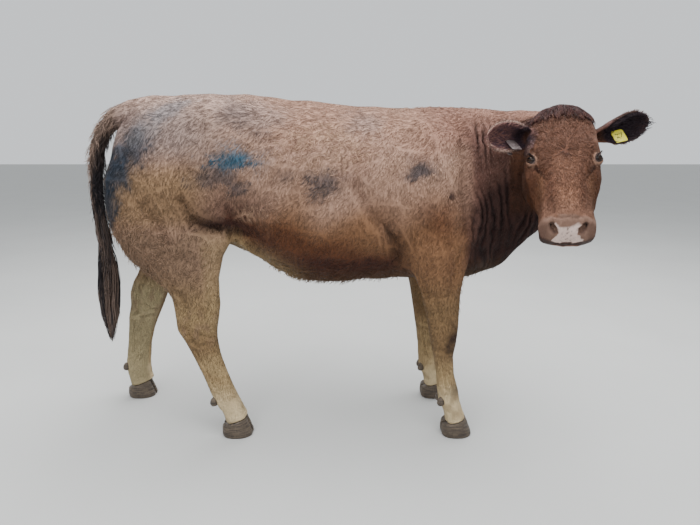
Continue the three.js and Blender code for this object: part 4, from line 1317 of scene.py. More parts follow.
def long_locks(name, roots, ways, normals, lengths, width, tones, stations, sag, lift, wave, seed):
    """Long locks: each starts along its way, lifted from the skin, sinks by its sag and wavers to both sides.

    At a share f of its length a lock has gone f times its length along its way, it stands lift times f times
    (1 - f) of its length off the skin, and it has sunk by sag times f squared of its length.
    """
    own = np.random.default_rng(seed)
    count = len(roots)
    f = np.linspace(0, 1, stations)[None, :, None]
    across = unit(np.cross(normals, ways))
    phase, pace = own.uniform(0, FULL_TURN, count), own.uniform(0.8, 1.7, count)
    swing = wave * np.sin(phase[:, None] + f[..., 0] * pace[:, None] * FULL_TURN) * f[..., 0]
    path = (
        roots[:, None, :]
        + ways[:, None, :] * lengths[:, None, None] * f
        + normals[:, None, :] * (lift * lengths)[:, None, None] * f * (1 - f)
        + across[:, None, :] * (swing * lengths[:, None])[..., None]
        - np.array([0, 0, 1.0]) * (sag * lengths)[:, None, None] * f**2
    )
    taper = np.sin(np.linspace(0.55, math.pi, stations))[:-1]
    taper = np.maximum(taper / taper.max(), 0.3)
    side, up = crosswise(path, normals[:, None, :])
    width = np.full(count, width)[:, None] * taper
    shade = own.uniform(0.75, 1.25, (count, 1, 1)) * np.linspace(0.8, 1.15, stations)[None, :, None]
    return locks(
        name, path, side, up, width, 0.45 * width, tones[:, None, :] * shade, unwrapped(places_of(roots))
    )


def combed(name, roots, ways, normals, lengths, width, tones, depth, turn):
    """Long locks combed flat: their stations lie on the skin, higher in the middle, bent by `turn`."""
    f = np.array([0.0, 0.3, 0.65, 1.0])
    rise = depth * np.array([0.0, 0.8, 1.0, 0.55])
    across = np.cross(normals, ways)
    bow = 0.08 * random.normal(size=len(roots)) + 0.25 * turn
    path, ups = [roots - normals * 0.0008], [normals]
    for k in range(1, 4):
        reach = (
            roots + ways * (lengths * f[k])[:, None]
            + across * (lengths * bow * math.sin(math.pi * f[k]))[:, None]
        )
        low, up = skin_under(reach)
        path.append(low + up * (rise[k] * random.uniform(0.7, 1.2, len(roots)))[:, None])
        ups.append(up)
    path, up = np.stack(path, 1), np.stack(ups[:3], 1)
    side = crosswise(path, up)[0]
    width = np.full(len(roots), width)[:, None] * np.array([0.7, 1.0, 0.8])
    shade = random.normal(1.0, 0.12, (len(roots), 1, 1)) * np.array([0.75, 0.95, 1.08, 1.18])[None, :, None]
    return locks(
        name, path, side, up, width, 0.35 * width, tones[:, None, :] * shade, unwrapped(places_of(roots))
    )


def chosen_roots(hide, density):
    """Roots with their places, for a density (to a square metre) on each triangle."""
    roots, normals = hide.roots(density)
    return roots, normals, places_of(roots)


def poll_hair(hide):
    """The thick dark cap on the poll, combed forward and to both sides, its tips loose over the forehead."""
    at = hide.at_middle
    cap = (
        smoothstep(-0.085, -0.07, at.t) * smoothstep(0.006, -0.018, at.t)
        * smoothstep(0.100, 0.075, np.abs(at.s)) * (at.u > -0.11)
    )
    roots, normals, p = chosen_roots(hide, 120000 * cap * at.in_head)
    way = np.column_stack([np.ones(len(roots)), 0.8 * p.s / 0.09, 0 * p.s]) @ HEAD_AXES
    way = turned(laid(way, normals), normals, 0.22 * waves(p.head, 0.035, 51))
    length = random.uniform(0.024, 0.052, len(roots)) * mix(1.0, 0.75, smoothstep(0.05, 0.1, np.abs(p.s)))
    share = 0.55 * smoothstep(-0.02, 0.01, p.t + random.uniform(-0.02, 0.02, len(roots)))
    tone = mix(np.tile(POLL, (len(roots), 1)), FACE, share) * random.uniform(0.7, 1.3, (len(roots), 1))
    tone = tone * np.clip(1 + 0.3 * waves(p.head * np.array([0.4, 1.0, 0.4]), 0.014, 56), 0.5, 1.6)[:, None]
    turn = 0.9 * waves(p.head, 0.05, 52)
    return combed("poll_hair", roots, way, normals, length, 0.0022, tone, 0.0058, turn)


def brow_curls(hide):
    """Curly hair of the forehead that winds out from its whorl, and the longer hair down the nose."""
    at = hide.at_middle
    brow = (
        smoothstep(0.0, 0.05, at.t) * smoothstep(0.24, 0.17, at.t) * smoothstep(0.088, 0.07, np.abs(at.s))
        * (at.u > -0.06)
    )
    nose = (
        smoothstep(0.19, 0.23, at.t) * smoothstep(0.385, 0.35, at.t) * smoothstep(0.06, 0.04, np.abs(at.s))
        * (at.u > -0.06)
    )
    roots, normals, p = chosen_roots(hide, (52000 * brow + 30000 * nose) * at.in_head)
    whorl = np.hypot(p.t - WHORL_T, p.s)
    swing = (
        0.75 * waves(p.head, 0.045, 53) * smoothstep(0.012, 0.05, whorl)
        + 0.2 * random.normal(size=len(roots))
    )
    way = turned(lie(p, normals), normals, swing * smoothstep(0.26, 0.2, p.t) + 0.3 * waves(p.head, 0.04, 55))
    length = mix(0.022, 0.014, smoothstep(0.18, 0.24, p.t)) * random.uniform(0.7, 1.3, len(roots))
    tone = hide_colour(p, normals) * (0.8 + 0.5 * random.uniform(0, 1, (len(roots), 1)) ** 2)
    tone = tone * (1 - 0.35 * hill(whorl, 0, 0.016))[:, None]
    turn = 1.3 * waves(p.head, 0.03, 54)
    return combed("brow_hair", roots, way, normals, length, 0.0017, tone, 0.0030, turn)


def ear_hair(hide):
    """Long hair inside the cups, from the rims across, and a fringe along the rims."""
    at = hide.at_middle
    inside = at.ear * ear_colour(at, hide.facing)[1]
    roots, normals, p = chosen_roots(hide, 26000 * inside)
    way = ear_ways(p, 0.9, -0.4, 0.5)
    way = laid(way, normals, 0.7)
    length = random.uniform(0.018, 0.034, len(roots))
    # The hair in the right ear's cup painted light, that in the left ear's cup kept dark as painted shade.
    light = p.ears["right"].mask * smoothstep(0.03, 0.08, p.ears["right"].place[:, 0])
    tone = mix(EAR_DARK * 0.5, EAR_BACK * 2.2, light * random.uniform(0.6, 1.0, len(roots)))
    return long_locks(
        "ear_hair", roots, way, normals, length, 0.0016, tone,
        stations=5, sag=0.1, lift=0.35, wave=0.08, seed=6,
    )


def rim_hair(hide):
    """Soft hair that stands past the rims of the ears."""
    at = hide.at_middle
    rim = np.zeros(len(at.x))
    for ear in at.ears.values():
        edge = smoothstep(0.010, 0.004, rim_distance(ear.place)) * (ear.place[:, 0] > 0.03)
        rim = np.maximum(rim, ear.mask * edge)
    roots, normals, p = chosen_roots(hide, 90000 * rim)
    way = unit(ear_ways(p, 0.8, 0.8, 0.15))
    pale = np.zeros(len(roots))
    # The rims' pale hair, strong on the right ear; on the left ear it stays dark with that ear's painted
    # shade.
    for name, ear in p.ears.items():
        clear = smoothstep(0.04, 0.08, ear.place[:, 0])
        pale = np.where(ear.mask > 0, (0.8 if name == "right" else 0.1) * clear, pale)
    length = random.uniform(0.004, 0.009, len(roots))
    tone = mix(EAR_BACK * 0.6, EAR_RIM, pale * random.uniform(0.4, 1.0, len(roots)))
    return long_locks(
        "ear_rim_hair", roots, way, normals, length, 0.0014, tone,
        stations=4, sag=0.0, lift=0.2, wave=0.06, seed=7,
    )


def loose_hair(hide):
    """Longer hair that breaks the outline: on belly, brisket and crest, behind the thighs and at the dock."""
    at = hide.at_middle
    belly = (
        smoothstep(0.70, 0.66, at.z) * smoothstep(0.6, 0.7, at.x) * smoothstep(1.2, 1.0, at.x) * (at.z > 0.5)
    )
    sheath = spot_at(at.x, at.z, (0.80, 0.63), (0.05, 0.04))
    brisket = (at.x > 1.4) * smoothstep(0.72, 0.64, at.z) * (at.z > 0.5)
    thigh = (
        smoothstep(0.30, 0.2, at.x) * smoothstep(0.92, 0.85, at.z) * smoothstep(0.6, 0.68, at.z)
        * (at.tail < 0.5)
    )
    crest = (at.x > 1.2) * smoothstep(1.26, 1.275, at.z) * (1 - at.in_head) * (1 - at.ear)
    dock = at.tail * (at.z > 0.86)
    density = 2600 * belly + 9000 * sheath + 1500 * brisket + 2600 * thigh + 1800 * crest + 9000 * dock
    roots, normals, p = chosen_roots(hide, density)
    way = unit(turned(lie(p, normals), normals, 0.5 * waves(p.own, 0.03, 61)) + 0.35 * normals)
    long = p.tail * (p.z > 0.86)
    length = (
        random.uniform(0.020, 0.034, len(roots)) * (1 + 0.2 * long)
        * mix(1.0, 0.6, smoothstep(1.2, 1.35, p.x))
    )
    tone = hide_colour(p, normals)
    tone = mix(
        tone, EAR_RIM, 0.45 * long * smoothstep(0.0, -0.6, normals[:, 0]) * random.uniform(0, 1, len(roots))
    )
    return long_locks(
        "loose_hair", roots, way, normals, length, 0.0026, tone,
        stations=5, sag=0.25, lift=0.15, wave=0.16, seed=8,
    )


# Heights on the switch and how far its hair stands from its middle there.
SWITCH_REACH = (
    [0.318, 0.345, 0.39, 0.45, 0.55, 0.64, 0.72, 0.80, 0.88, 1.0],
    [0.003, 0.008, 0.020, 0.034, 0.038, 0.036, 0.030, 0.025, 0.021, 0.022],
)


def switch_hair():
    """The switch: long wavy locks in clumps, rooted round the tail's core, that hang and gather to a tip."""
    count, stations, clumps = 1000, 13, 46
    own = np.random.default_rng(9)
    clump = own.integers(0, clumps, count)
    start = np.clip(own.uniform(0.40, 0.84, clumps)[clump] + own.normal(0, 0.02, count), 0.38, 0.88)
    foot = line_point(TAIL_LINE, start)
    angle = own.uniform(0, 2 * math.pi, clumps)[clump] + own.normal(0, 0.22, count)
    drop = own.uniform(0.20, 0.40, clumps)[clump] * own.uniform(0.8, 1.05, count)
    end_z = np.maximum(foot[:, 1] - drop, 0.322 + own.uniform(0, 0.03, count))
    f = np.linspace(0, 1, stations)
    z = foot[:, 1:] + (end_z - foot[:, 1])[:, None] * f
    centre = np.interp(-z, -TAIL_LINE[:, 1], TAIL_LINE[:, 0])
    reach = np.interp(z, *SWITCH_REACH)
    layer = (own.uniform(0.45, 1.08, clumps)[clump] * own.uniform(0.85, 1.08, count))[:, None]
    swell = reach * (layer * smoothstep(0.0, 0.25, f) + (1 - smoothstep(0.0, 0.25, f)) * 0.7)
    drift = angle[:, None] + own.normal(0, 0.5, clumps)[clump][:, None] * f
    wave = []
    for _ in range(2):
        phase = own.uniform(0, FULL_TURN, clumps)[clump] + own.normal(0, 0.3, count)
        pace = own.uniform(7, 15, clumps)[clump]
        wave.append(0.0055 * np.sin(phase[:, None] + f * pace[:, None]) * f)
    x = centre + swell * np.cos(drift) + wave[0]
    y = 0.9 * swell * np.sin(drift) + wave[1]
    path = np.stack([x, y, z], -1) + SHIFT
    outwards = np.stack([np.cos(drift), np.sin(drift), 0 * drift], -1)[:, :-1]
    side, up = crosswise(path, outwards)
    width = (
        0.0036 * np.interp(f[:-1], [0, 0.2, 0.7, 1], [0.5, 1, 0.9, 0.3]) * own.uniform(0.6, 1.4, (count, 1))
    )
    brown = np.clip(own.normal(0.12, 0.18, clumps)[clump] + own.normal(0, 0.10, count), 0, 0.8)
    tone = mix(SWITCH_DARK, TAIL_BROWN, brown)
    tones = (
        tone[:, None, :] * np.linspace(0.7, 1.3, stations)[None, :, None]
        * own.uniform(0.6, 1.35, (count, 1, 1))
    )
    roots = 0.01 + 0.98 * np.column_stack([(angle / (2 * math.pi)) % 1.0, (start - 0.38) / 0.5])
    return locks("tail_switch_hair", path, side, up, width, 0.5 * width, tones, roots)


def lashes():
    """Lashes: short dark hairs along the upper lids, that curve out and down."""
    paths, sides, ups = [], [], []
    stations, count, length = 4, 34, 0.014
    for way in (1, -1):
        middle, axes = eye_axes(way)
        along = np.linspace(-0.9, 0.8, count) * LID_WIDTH
        height = lid_edge(along)[0] + 0.0004
        flat = np.column_stack([along, height])
        out = np.sqrt(np.maximum((EYE_RADIUS + 0.0018) ** 2 - (flat**2).sum(1), 0))
        root = np.column_stack([flat, out])
        aim = unit(np.column_stack([0.35 * along / LID_WIDTH - 0.25, np.full(count, 0.25), np.ones(count)]))
        f = np.linspace(0, 1, stations)[None, :, None]
        dip = np.array([0, 1.0, 0]) * 0.35 * length * f * (1.2 - f) * 1.4
        path = root[:, None, :] + aim[:, None, :] * length * f - dip
        run = unit(path[:, 1:] - path[:, :-1])
        side = unit(np.cross(run, np.array([0, 1.0, 0])))
        paths.append(from_head(path.reshape(-1, 3) @ axes + middle).reshape(path.shape))
        sides.append((side @ axes) @ HEAD_AXES)
        ups.append((np.cross(side, run) @ axes) @ HEAD_AXES)
    path, side, up = np.vstack(paths), np.vstack(sides), np.vstack(ups)
    width = np.full(path.shape[:2], 0.0011)[:, :-1] * np.array([1.0, 0.8, 0.5])
    tones = np.tile(SOOT, (len(path), stations, 1))
    roots = np.column_stack([np.linspace(0.05, 0.95, len(path)), np.full(len(path), 0.5)])
    return locks("lashes", path, side, up, width, 0.6 * width, tones, roots)


# ---- eyes ----
EYE_BROWN, EYE_EDGE, PUPIL, EYE_WHITE = (np.array(c) for c in (
    (0.028, 0.014, 0.008), (0.008, 0.005, 0.004), (0.0015, 0.0015, 0.002), (0.16, 0.11, 0.10),
))


def eyeball(name, side):
    """An eyeball of rings round its way out: a cornea in front, a level pupil and a brown iris."""
    middle, axes = eye_axes(side)
    rings, sides = 64, 96
    turn = (np.linspace(0.0, 1, rings) ** 1.15 * (math.pi * 0.985) + math.pi * 0.005)[:, None]
    around = ring_angles(sides)[None, :]
    radius = (EYE_RADIUS - 0.0004) + 0.0011 * hill(turn, 0, 0.62)
    wide = radius * np.sin(turn)
    place = np.stack([wide * np.cos(around), wide * np.sin(around), radius * np.cos(turn) + 0 * around], -1)
    across, high = place[..., 0] / EYE_RADIUS, place[..., 1] / EYE_RADIUS
    pupil = smoothstep(1.08, 0.92, np.hypot(across / 0.36, high / 0.19))
    iris = np.hypot(across, high)
    streak = 0.7 + 0.3 * np.sin(around * 37 + 2 * np.sin(around * 11))
    colour = mix(EYE_BROWN, EYE_EDGE, smoothstep(0.62, 0.78, iris)) * streak[..., None]
    colour = mix(colour, EYE_WHITE, smoothstep(0.86, 0.93, iris))
    colour = mix(colour, PUPIL, pupil)
    points, quads, fans = capped(from_head(place @ axes + middle))
    colours = np.vstack([colour.reshape(-1, 3), PUPIL, EYE_WHITE])
    piece = new_piece(name + "_ball", points, quads, fans, colours)
    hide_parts(name)
    return piece


LID_ROLL = 0.0011  # radius of the wet edge of a lid


def lid_rims():
    """The wet dark edges of the lids: a thin roll along the slit of each eye, closed on itself."""
    pieces = []
    for name, side in (("right", 1), ("left", -1)):
        middle, axes = eye_axes(side)
        f = np.cos(np.linspace(0, math.pi, 49)) * LID_WIDTH * 0.995
        over, under = lid_edge(f)
        flat = np.vstack([np.column_stack([f, over]), np.column_stack([f[::-1], under[::-1]])[1:-1]])
        out = np.sqrt(np.maximum((EYE_RADIUS + 0.0006) ** 2 - (flat**2).sum(1), 1e-8))
        line = np.column_stack([flat, out])
        run = unit(np.roll(line, -1, 0) - np.roll(line, 1, 0))
        lift = unit(line)
        aside = np.cross(run, lift)
        around = ring_angles(10)[None, :, None]
        rings = line[:, None] + LID_ROLL * (np.cos(around) * lift[:, None] + np.sin(around) * aside[:, None])
        count, sides, _ = rings.shape
        faces = grid_faces(count + 1, sides) % (count * sides)
        piece = new_piece(f"lid_rim_{name}", from_head(rings.reshape(-1, 3) @ axes + middle), faces)
        face_out(piece.data)
        pieces.append(piece)
    return pieces


def face_out(mesh):
    """Turns a closed mesh's faces outwards."""
    bm = bmesh.new()
    bm.from_mesh(mesh)
    bmesh.ops.recalc_face_normals(bm, faces=bm.faces)
    bm.to_mesh(mesh)
    bm.free()


# ---- hooves ----
CORONET, HOOF_SLOPE = 0.066, math.tan(math.radians(18))  # its height at the middle, and its rise to the toe
# Height, toe, heel and width of a claw, from its back.
CLAW_ROWS = np.array([
    (0, 0.116, 0, 0.049), (0.010, 0.115, -0.003, 0.050),
    (0.045, 0.103, -0.002, 0.049), (0.1, 0.082, 0.010, 0.044),
])
CLAW_GAP = 0.005
CLAW_MIDDLE = 0.056  # from the back of a claw to the middle it narrows to
CLAW_BACK = {"foreleg_right": 1.372, "foreleg_left": 1.333, "hindleg_right": 0.492, "hindleg_left": -0.026}
LEG_MIDDLE = {"foreleg": 0.166, "hindleg": 0.168}
DEWCLAW = {"radius": 0.014, "height": 0.148, "apart": 0.023, "sunk": 0.012}
LEG_HEEL = {"foreleg_right": 1.350, "foreleg_left": 1.3158, "hindleg_right": 0.452, "hindleg_left": -0.038}


def smooth_rows(heights, column):
    """A column of the claw's rows at any heights, along a smooth curve through them."""
    low, high = CLAW_ROWS[:-1], CLAW_ROWS[1:]
    slopes = np.gradient(CLAW_ROWS[:, column], CLAW_ROWS[:, 0])
    k = np.clip(np.searchsorted(CLAW_ROWS[:, 0], heights) - 1, 0, len(low) - 1)
    span = high[k, 0] - low[k, 0]
    f = np.clip((heights - low[k, 0]) / span, 0, 1)
    a, b = low[k, column], high[k, column]
    return (
        a * (2 * f**3 - 3 * f**2 + 1) + b * (3 * f**2 - 2 * f**3)
        + slopes[k] * span * (f**3 - 2 * f**2 + f) + slopes[k + 1] * span * (f**3 - f**2)
    )


def claw(name, back, middle, way):
    """A claw: rings of a rounded box, flat on its inner side, up to the sloping coronet.

    Growth rings ripple the wall.
    """
    rings, sides = 30, 44
    share = np.linspace(0, 1, rings)[:, None]
    angle = ring_angles(sides)[None, :]
    along, across = (np.sign(v) * np.abs(v) ** (2 / 2.6) for v in (np.cos(angle), np.sin(angle)))
    z = share * CORONET + 0 * angle
    for _ in range(3):
        front, rear, width = (smooth_rows(z, c) for c in (1, 2, 3))
        x = back + (front + rear) / 2 + along * (front - rear) / 2
        z = share * (CORONET - 0.001 + HOOF_SLOPE * (x - back - 0.058))
    ripple = (
        0.0005 * np.sin(z / 0.0042 + 3 * x / 0.05) * smoothstep(0.0, 0.25, share)
        * smoothstep(-0.9, -0.3, along)
    )
    worn = 1 - 0.05 * hill(share, 0, 0.05)
    toe = 1 - 0.28 * np.maximum(0, along) ** 2
    outer = np.where(across < 0, 0.12 + 0.12 * across, 0.12 + 0.88 * across * toe)
    x = back + CLAW_MIDDLE + (x - back - CLAW_MIDDLE) * worn * (1 + ripple / 0.05)
    y = middle + way * (CLAW_GAP / 2 + width * outer * worn * (1 + ripple / 0.04))
    piece = new_piece(name + "_horn", *capped(np.stack([x, y, z], -1) + SHIFT))
    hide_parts(name)
    return piece


def dewclaw(name, x, y):
    """A dewclaw: a blunt cone of rings that hangs from the heel, its tip curved back and down."""
    rings, sides = 22, 28
    turn = (np.linspace(0.02, 0.98, rings) * math.pi)[:, None]
    around = ring_angles(sides)[None, :]
    r = DEWCLAW["radius"]
    wide = np.sin(turn) ** 0.8
    drop = np.cos(turn)
    px = x - 1.1 * r * (wide * np.cos(around) * (1 - 0.15 * drop)) - 0.0015 * (1 - drop)
    py = y + 0.85 * r * wide * np.sin(around)
    pz = DEWCLAW["height"] + 1.35 * r * drop + 0.0004 * np.sin(turn * 26)
    piece = new_piece(name + "_horn", *capped(np.stack([px, py, pz + 0 * px], -1) + SHIFT))
    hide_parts(name)
    return piece


def hooves():
    """The two claws and the two dewclaws of each leg."""
    pieces = []
    for leg, back in CLAW_BACK.items():
        side = -1 if leg.endswith("right") else 1
        middle = side * LEG_MIDDLE[leg.split("_")[0]]
        for label, way in (("inner", -side), ("outer", side)):
            pieces.append(claw(f"{leg}_claw_{label}", back, middle, way))
            heel = LEG_HEEL[leg] + DEWCLAW["sunk"]
            pieces.append(dewclaw(f"{leg}_dewclaw_{label}", heel, middle + way * DEWCLAW["apart"]))
    return pieces


# ---- ear tags ----
TAGS = {
    "right": {"x": 0.072, "angle": 70, "radius": 0.054},
    "left": {"x": 0.070, "angle": -52, "radius": 0.0545},
}
TAG_WIDTH, TAG_HEIGHT, TAG_THICK = 0.044, 0.0506, 0.0022
# Boss with its pin, and button: radius and height over the skin of the cup.
TAG_BOSS = [
    (0.001, 0.0295), (0.006, 0.0292), (0.0068, 0.0282), (0.0068, 0.026), (0.0055, 0.0225),
    (0.0042, 0.022), (0.0034, 0.012), (0.003, 0.0), (0.003, -0.0085), (0.001, -0.0088),
]
TAG_BUTTON = [
    (0.001, -0.0062), (0.0112, -0.0062), (0.0120, -0.0069), (0.0118, -0.0082), (0.009, -0.0094),
    (0.003, -0.0106), (0.0008, -0.0108),
]
TAG_OUT = 0.027  # from the skin of the cup to the plate
TAG_BOW = 0.0018  # how far the plate's sides bend back


def tag_axes(side):
    """Place of a tag's pin in the ear's frame, and rows along the ear, round the cup and into the cup."""
    tag = TAGS[side]
    turn = math.radians(tag["angle"])
    place = np.array([tag["x"], math.sin(turn) * tag["radius"], (CUP_AXIS - math.cos(turn)) * tag["radius"]])
    return place, np.array(Matrix.Rotation(turn, 3, "X")).T


def from_tag(points, side):
    """Points of a tag's frame in the row's frame."""
    place, rows = tag_axes(side)
    return from_ear(np.asarray(points) @ rows + place, EARS[side])


def rounded_plate(width, height, thick, bow, sides=48):
    """A plate of rings from rim to rim: a rounded rectangle, its edges eased, bowed along its width."""
    angle = ring_angles(sides)
    c, s = np.cos(angle), np.sin(angle)
    power = 2 / 7.0
    outline = np.column_stack(
        [np.sign(c) * np.abs(c) ** power * width / 2, np.sign(s) * np.abs(s) ** power * height / 2]
    )
    rings = []
    for share, z in ((0.5, 0), (0.94, 0), (0.985, 0.12), (1.0, 0.5), (0.985, 0.88), (0.94, 1.0), (0.5, 1.0)):
        ring = outline * share
        rings.append(np.column_stack([ring, (z - 0.5) * thick - bow * (ring[:, 0] / (width / 2)) ** 2]))
    return np.array(rings)


def turned_piece(profile, sides=32):
    """Rings of a round piece: its radius at each height along z."""
    angle = ring_angles(sides)
    return np.array(
        [np.column_stack([r * np.cos(angle), r * np.sin(angle), np.full(sides, z)]) for r, z in profile]
    )


def joined(name, parts):
    """Several closed skins as one piece."""
    points, quads, fans, first = [], [], [], 0
    for p, q, f in parts:
        points.append(p)
        quads.append(q + first)
        fans.append(f + first)
        first += len(p)
    return new_piece(name, np.vstack(points), np.vstack(quads), np.vstack(fans))


def ear_tag(side):
    """A plate in the cup of the ear with a round boss, its pin through the ear and the button behind it."""
    plate = rounded_plate(TAG_WIDTH, TAG_HEIGHT, TAG_THICK, TAG_BOW)
    plate[..., 2] += TAG_OUT
    solids = []
    for rings in (plate, turned_piece(TAG_BOSS), turned_piece(TAG_BUTTON)):
        solids.append(capped(from_tag(rings.reshape(-1, 3), side).reshape(rings.shape)))
    piece = joined(f"ear_tag_{side}_plate", solids)
    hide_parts(f"ear_tag_{side}")
    return piece


def tag_digits(side, text, size):
    """Plain digits printed on a tag's face, a shade proud of it."""
    curve = bpy.data.curves.new(f"tag_digits_{side}", "FONT")
    curve.body, curve.size, curve.align_x, curve.align_y = text, size, "CENTER", "CENTER"
    curve.extrude, curve.resolution_u = 0.00015, 3
    lettering = placed(f"tag_digits_{side}", curve)
    bpy.context.view_layer.update()
    mesh = bpy.data.meshes.new_from_object(lettering.evaluated_get(bpy.context.evaluated_depsgraph_get()))
    bpy.data.objects.remove(lettering)
    flat = points_of(mesh)
    bow = TAG_BOW * (flat[:, 0] / (TAG_WIDTH / 2)) ** 2
    height = TAG_OUT + TAG_THICK / 2 + 0.0001 + flat[:, 2] - bow
    set_points(mesh, from_tag(np.column_stack([flat[:, 0], flat[:, 1], height]), side))
    return placed(f"tag_digits_{side}", mesh)


# ---- finishes ----
class Value:
    """A number that varies over a surface: arithmetic with it adds Math nodes."""

    def __init__(self, tree, socket):
        self.tree, self.socket = tree, socket

    def _math(self, operation, first, second):
        node = self.tree.nodes.new("ShaderNodeMath")
        node.operation = operation
        for slot, value in zip(node.inputs, (first, second)):
            if isinstance(value, Value):
                self.tree.links.new(value.socket, slot)
            else:
                slot.default_value = value
        return Value(self.tree, node.outputs[0])

    def __add__(self, other):
        return self._math("ADD", self, other)

    def __rsub__(self, other):
        return self._math("SUBTRACT", other, self)

    def __mul__(self, other):
        return self._math("MULTIPLY", self, other)

    __rmul__ = __mul__


class Finish:
    """A material under a maker's name, with its shader and short ways to add nodes."""

    def __init__(self, name, **constants):
        self.material = bpy.data.materials.new(name)
        self.material.use_nodes = True
        self.tree = self.material.node_tree
        self.shader = self.tree.nodes["Principled BSDF"]
        for socket, value in constants.items():
            self.shader.inputs[socket.replace("_", " ")].default_value = value

    def node(self, kind, settings=None, inputs=None, output=0):
        """A node of a type, its settings made first, then its sockets set or linked."""
        node = self.tree.nodes.new("ShaderNode" + kind)
        for key, value in (settings or {}).items():
            setattr(node, key, value)
        for key, value in (inputs or {}).items():
            self.put(node.inputs[key], value)
        return Value(self.tree, node.outputs[output])

    def put(self, slot, value):
        """Links a value to a socket, or sets the socket to it."""
        if isinstance(value, Value):
            self.tree.links.new(value.socket, slot)
        else:
            slot.default_value = (*value, 1) if slot.type == "RGBA" else value

    def place(self, stretch=(1, 1, 1)):
        """The surface's own place, stretched along its axes."""
        return self.node("Mapping", inputs={"Vector": self.node("TexCoord", output=3), "Scale": stretch})

    def noise(self, scale, detail=3, roughness=0.5, stretch=(1, 1, 1)):
        """Fine unevenness of so many grains to a metre."""
        inputs = {"Vector": self.place(stretch), "Scale": scale, "Detail": detail, "Roughness": roughness}
        return self.node("TexNoise", inputs=inputs)

    def cells(self, scale, feature):
        """Cells of so many to a metre, by one of their measures."""
        return self.node("TexVoronoi", {"feature": feature}, {"Vector": self.place(), "Scale": scale})

    def between(self, value, low, high, out_low=0.0, out_high=1.0):
        """A smooth step from one number to another."""
        inputs = {"Value": value, 1: low, 2: high, 3: out_low, 4: out_high}
        return self.node("MapRange", {"interpolation_type": "SMOOTHSTEP"}, inputs)

    def attribute(self, name, number=False):
        """A colour or a number that the points carry."""
        return self.node("Attribute", {"attribute_name": name}, output=2 if number else 0)

    def blend(self, first, second, share):
        """Two colours mixed by a share."""
        node = self.tree.nodes.new("ShaderNodeMix")
        node.data_type = "RGBA"
        self.put(node.inputs[0], share)
        self.put(node.inputs[6], first)
        self.put(node.inputs[7], second)
        return Value(self.tree, node.outputs[2])

    def scaled(self, colour, amount):
        """A colour times a number."""
        inputs = {0: colour, "Scale": amount}
        return self.node("VectorMath", {"operation": "SCALE"}, inputs)

    def bump(self, height, distance, strength):
        """Fine relief of the surface."""
        inputs = {"Height": height, "Distance": distance, "Strength": strength}
        self.put(self.shader.inputs["Normal"], self.node("Bump", inputs=inputs))

    def colour(self, value):
        """The surface's own colour."""
        self.put(self.shader.inputs["Base Color"], value)

    def roughness(self, value):
        """How matt the surface is."""
        self.put(self.shader.inputs["Roughness"], value)

    def on(self, *pieces):
        """Gives the finish to pieces."""
        for piece in pieces:
            piece.data.materials.clear()
            piece.data.materials.append(self.material)


def skin_finish():
    """The hide under the coat: its paint with fine hair grain, and the wet pebbled skin of the nose."""
    finish = Finish("hide under the coat", Specular_IOR_Level=0.16)
    bare = finish.attribute("bare", number=True)
    grain = finish.noise(420, 4, 0.6)
    mottle = finish.noise(34, 3, 0.55)
    pebbles = finish.cells(430, "DISTANCE_TO_EDGE")
    shade = finish.between(grain, 0.3, 0.7, 0.86, 1.12) * finish.between(mottle, 0.3, 0.7, 0.96, 1.08)
    # The bare skin darker along the furrows between its pebbles, as painted shade.
    worn = finish.between(pebbles, 0.0, 0.16, 0.80, 1.04) * finish.between(mottle, 0.3, 0.7, 0.92, 1.05)
    finish.colour(finish.scaled(finish.attribute("hide"), shade * (1 - bare) + worn * bare))
    finish.roughness(0.82 - 0.46 * bare + 0.1 * grain)
    furrows = finish.between(pebbles, 0.0, 0.2) * bare * 0.55
    finish.bump(grain * (1 - bare) + furrows, 0.0012, 0.8)
    return finish


def hair_finish(name, grains, squeeze, shades, matt, relief, **constants):
    """Hair: the paint of each lock, with fine streaks along it."""
    finish = Finish(name, **constants)
    streaks = finish.noise(grains, 2, 0.6, (1, 1, squeeze))
    finish.colour(finish.scaled(finish.attribute("hide"), finish.between(streaks, 0.25, 0.75, *shades)))
    finish.roughness(finish.between(streaks, 0.3, 0.7, *matt))
    finish.bump(streaks, *relief)
    return finish


def coat_finish():
    """Short and long hair, with a faint unevenness along it."""
    return hair_finish(
        "coat hair", 900, 0.35, (0.80, 1.18), (0.68, 0.52), (0.0004, 0.5),
        Specular_IOR_Level=0.14, Sheen_Weight=0.03, Sheen_Roughness=0.5,
    )


def switch_finish():
    """The switch: darker, heavier hair, damp and a little glossy."""
    return hair_finish(
        "switch hair", 700, 0.12, (0.75, 1.25), (0.60, 0.42), (0.0005, 0.6), Specular_IOR_Level=0.25
    )


def eye_finish():
    """The eyeballs: wet and smooth, a little uneven in colour."""
    finish = Finish("eyeball", Coat_Weight=0.10, Coat_Roughness=0.06, Specular_IOR_Level=0.12)
    veins = finish.noise(300)
    finish.colour(finish.scaled(finish.attribute("hide"), finish.between(veins, 0.3, 0.7, 0.9, 1.1)))
    finish.roughness(finish.between(veins, 0.3, 0.7, 0.10, 0.16))
    return finish


def rim_finish():
    """The lids' edges: wet dark skin."""
    finish = Finish("wet lid rim", Specular_IOR_Level=0.15)
    grain = finish.noise(900, 2)
    finish.colour(finish.blend((0.018, 0.012, 0.011), (0.05, 0.03, 0.027), grain))
    finish.roughness(finish.between(grain, 0.3, 0.7, 0.25, 0.4))
    finish.bump(grain, 0.0002, 0.5)
    return finish


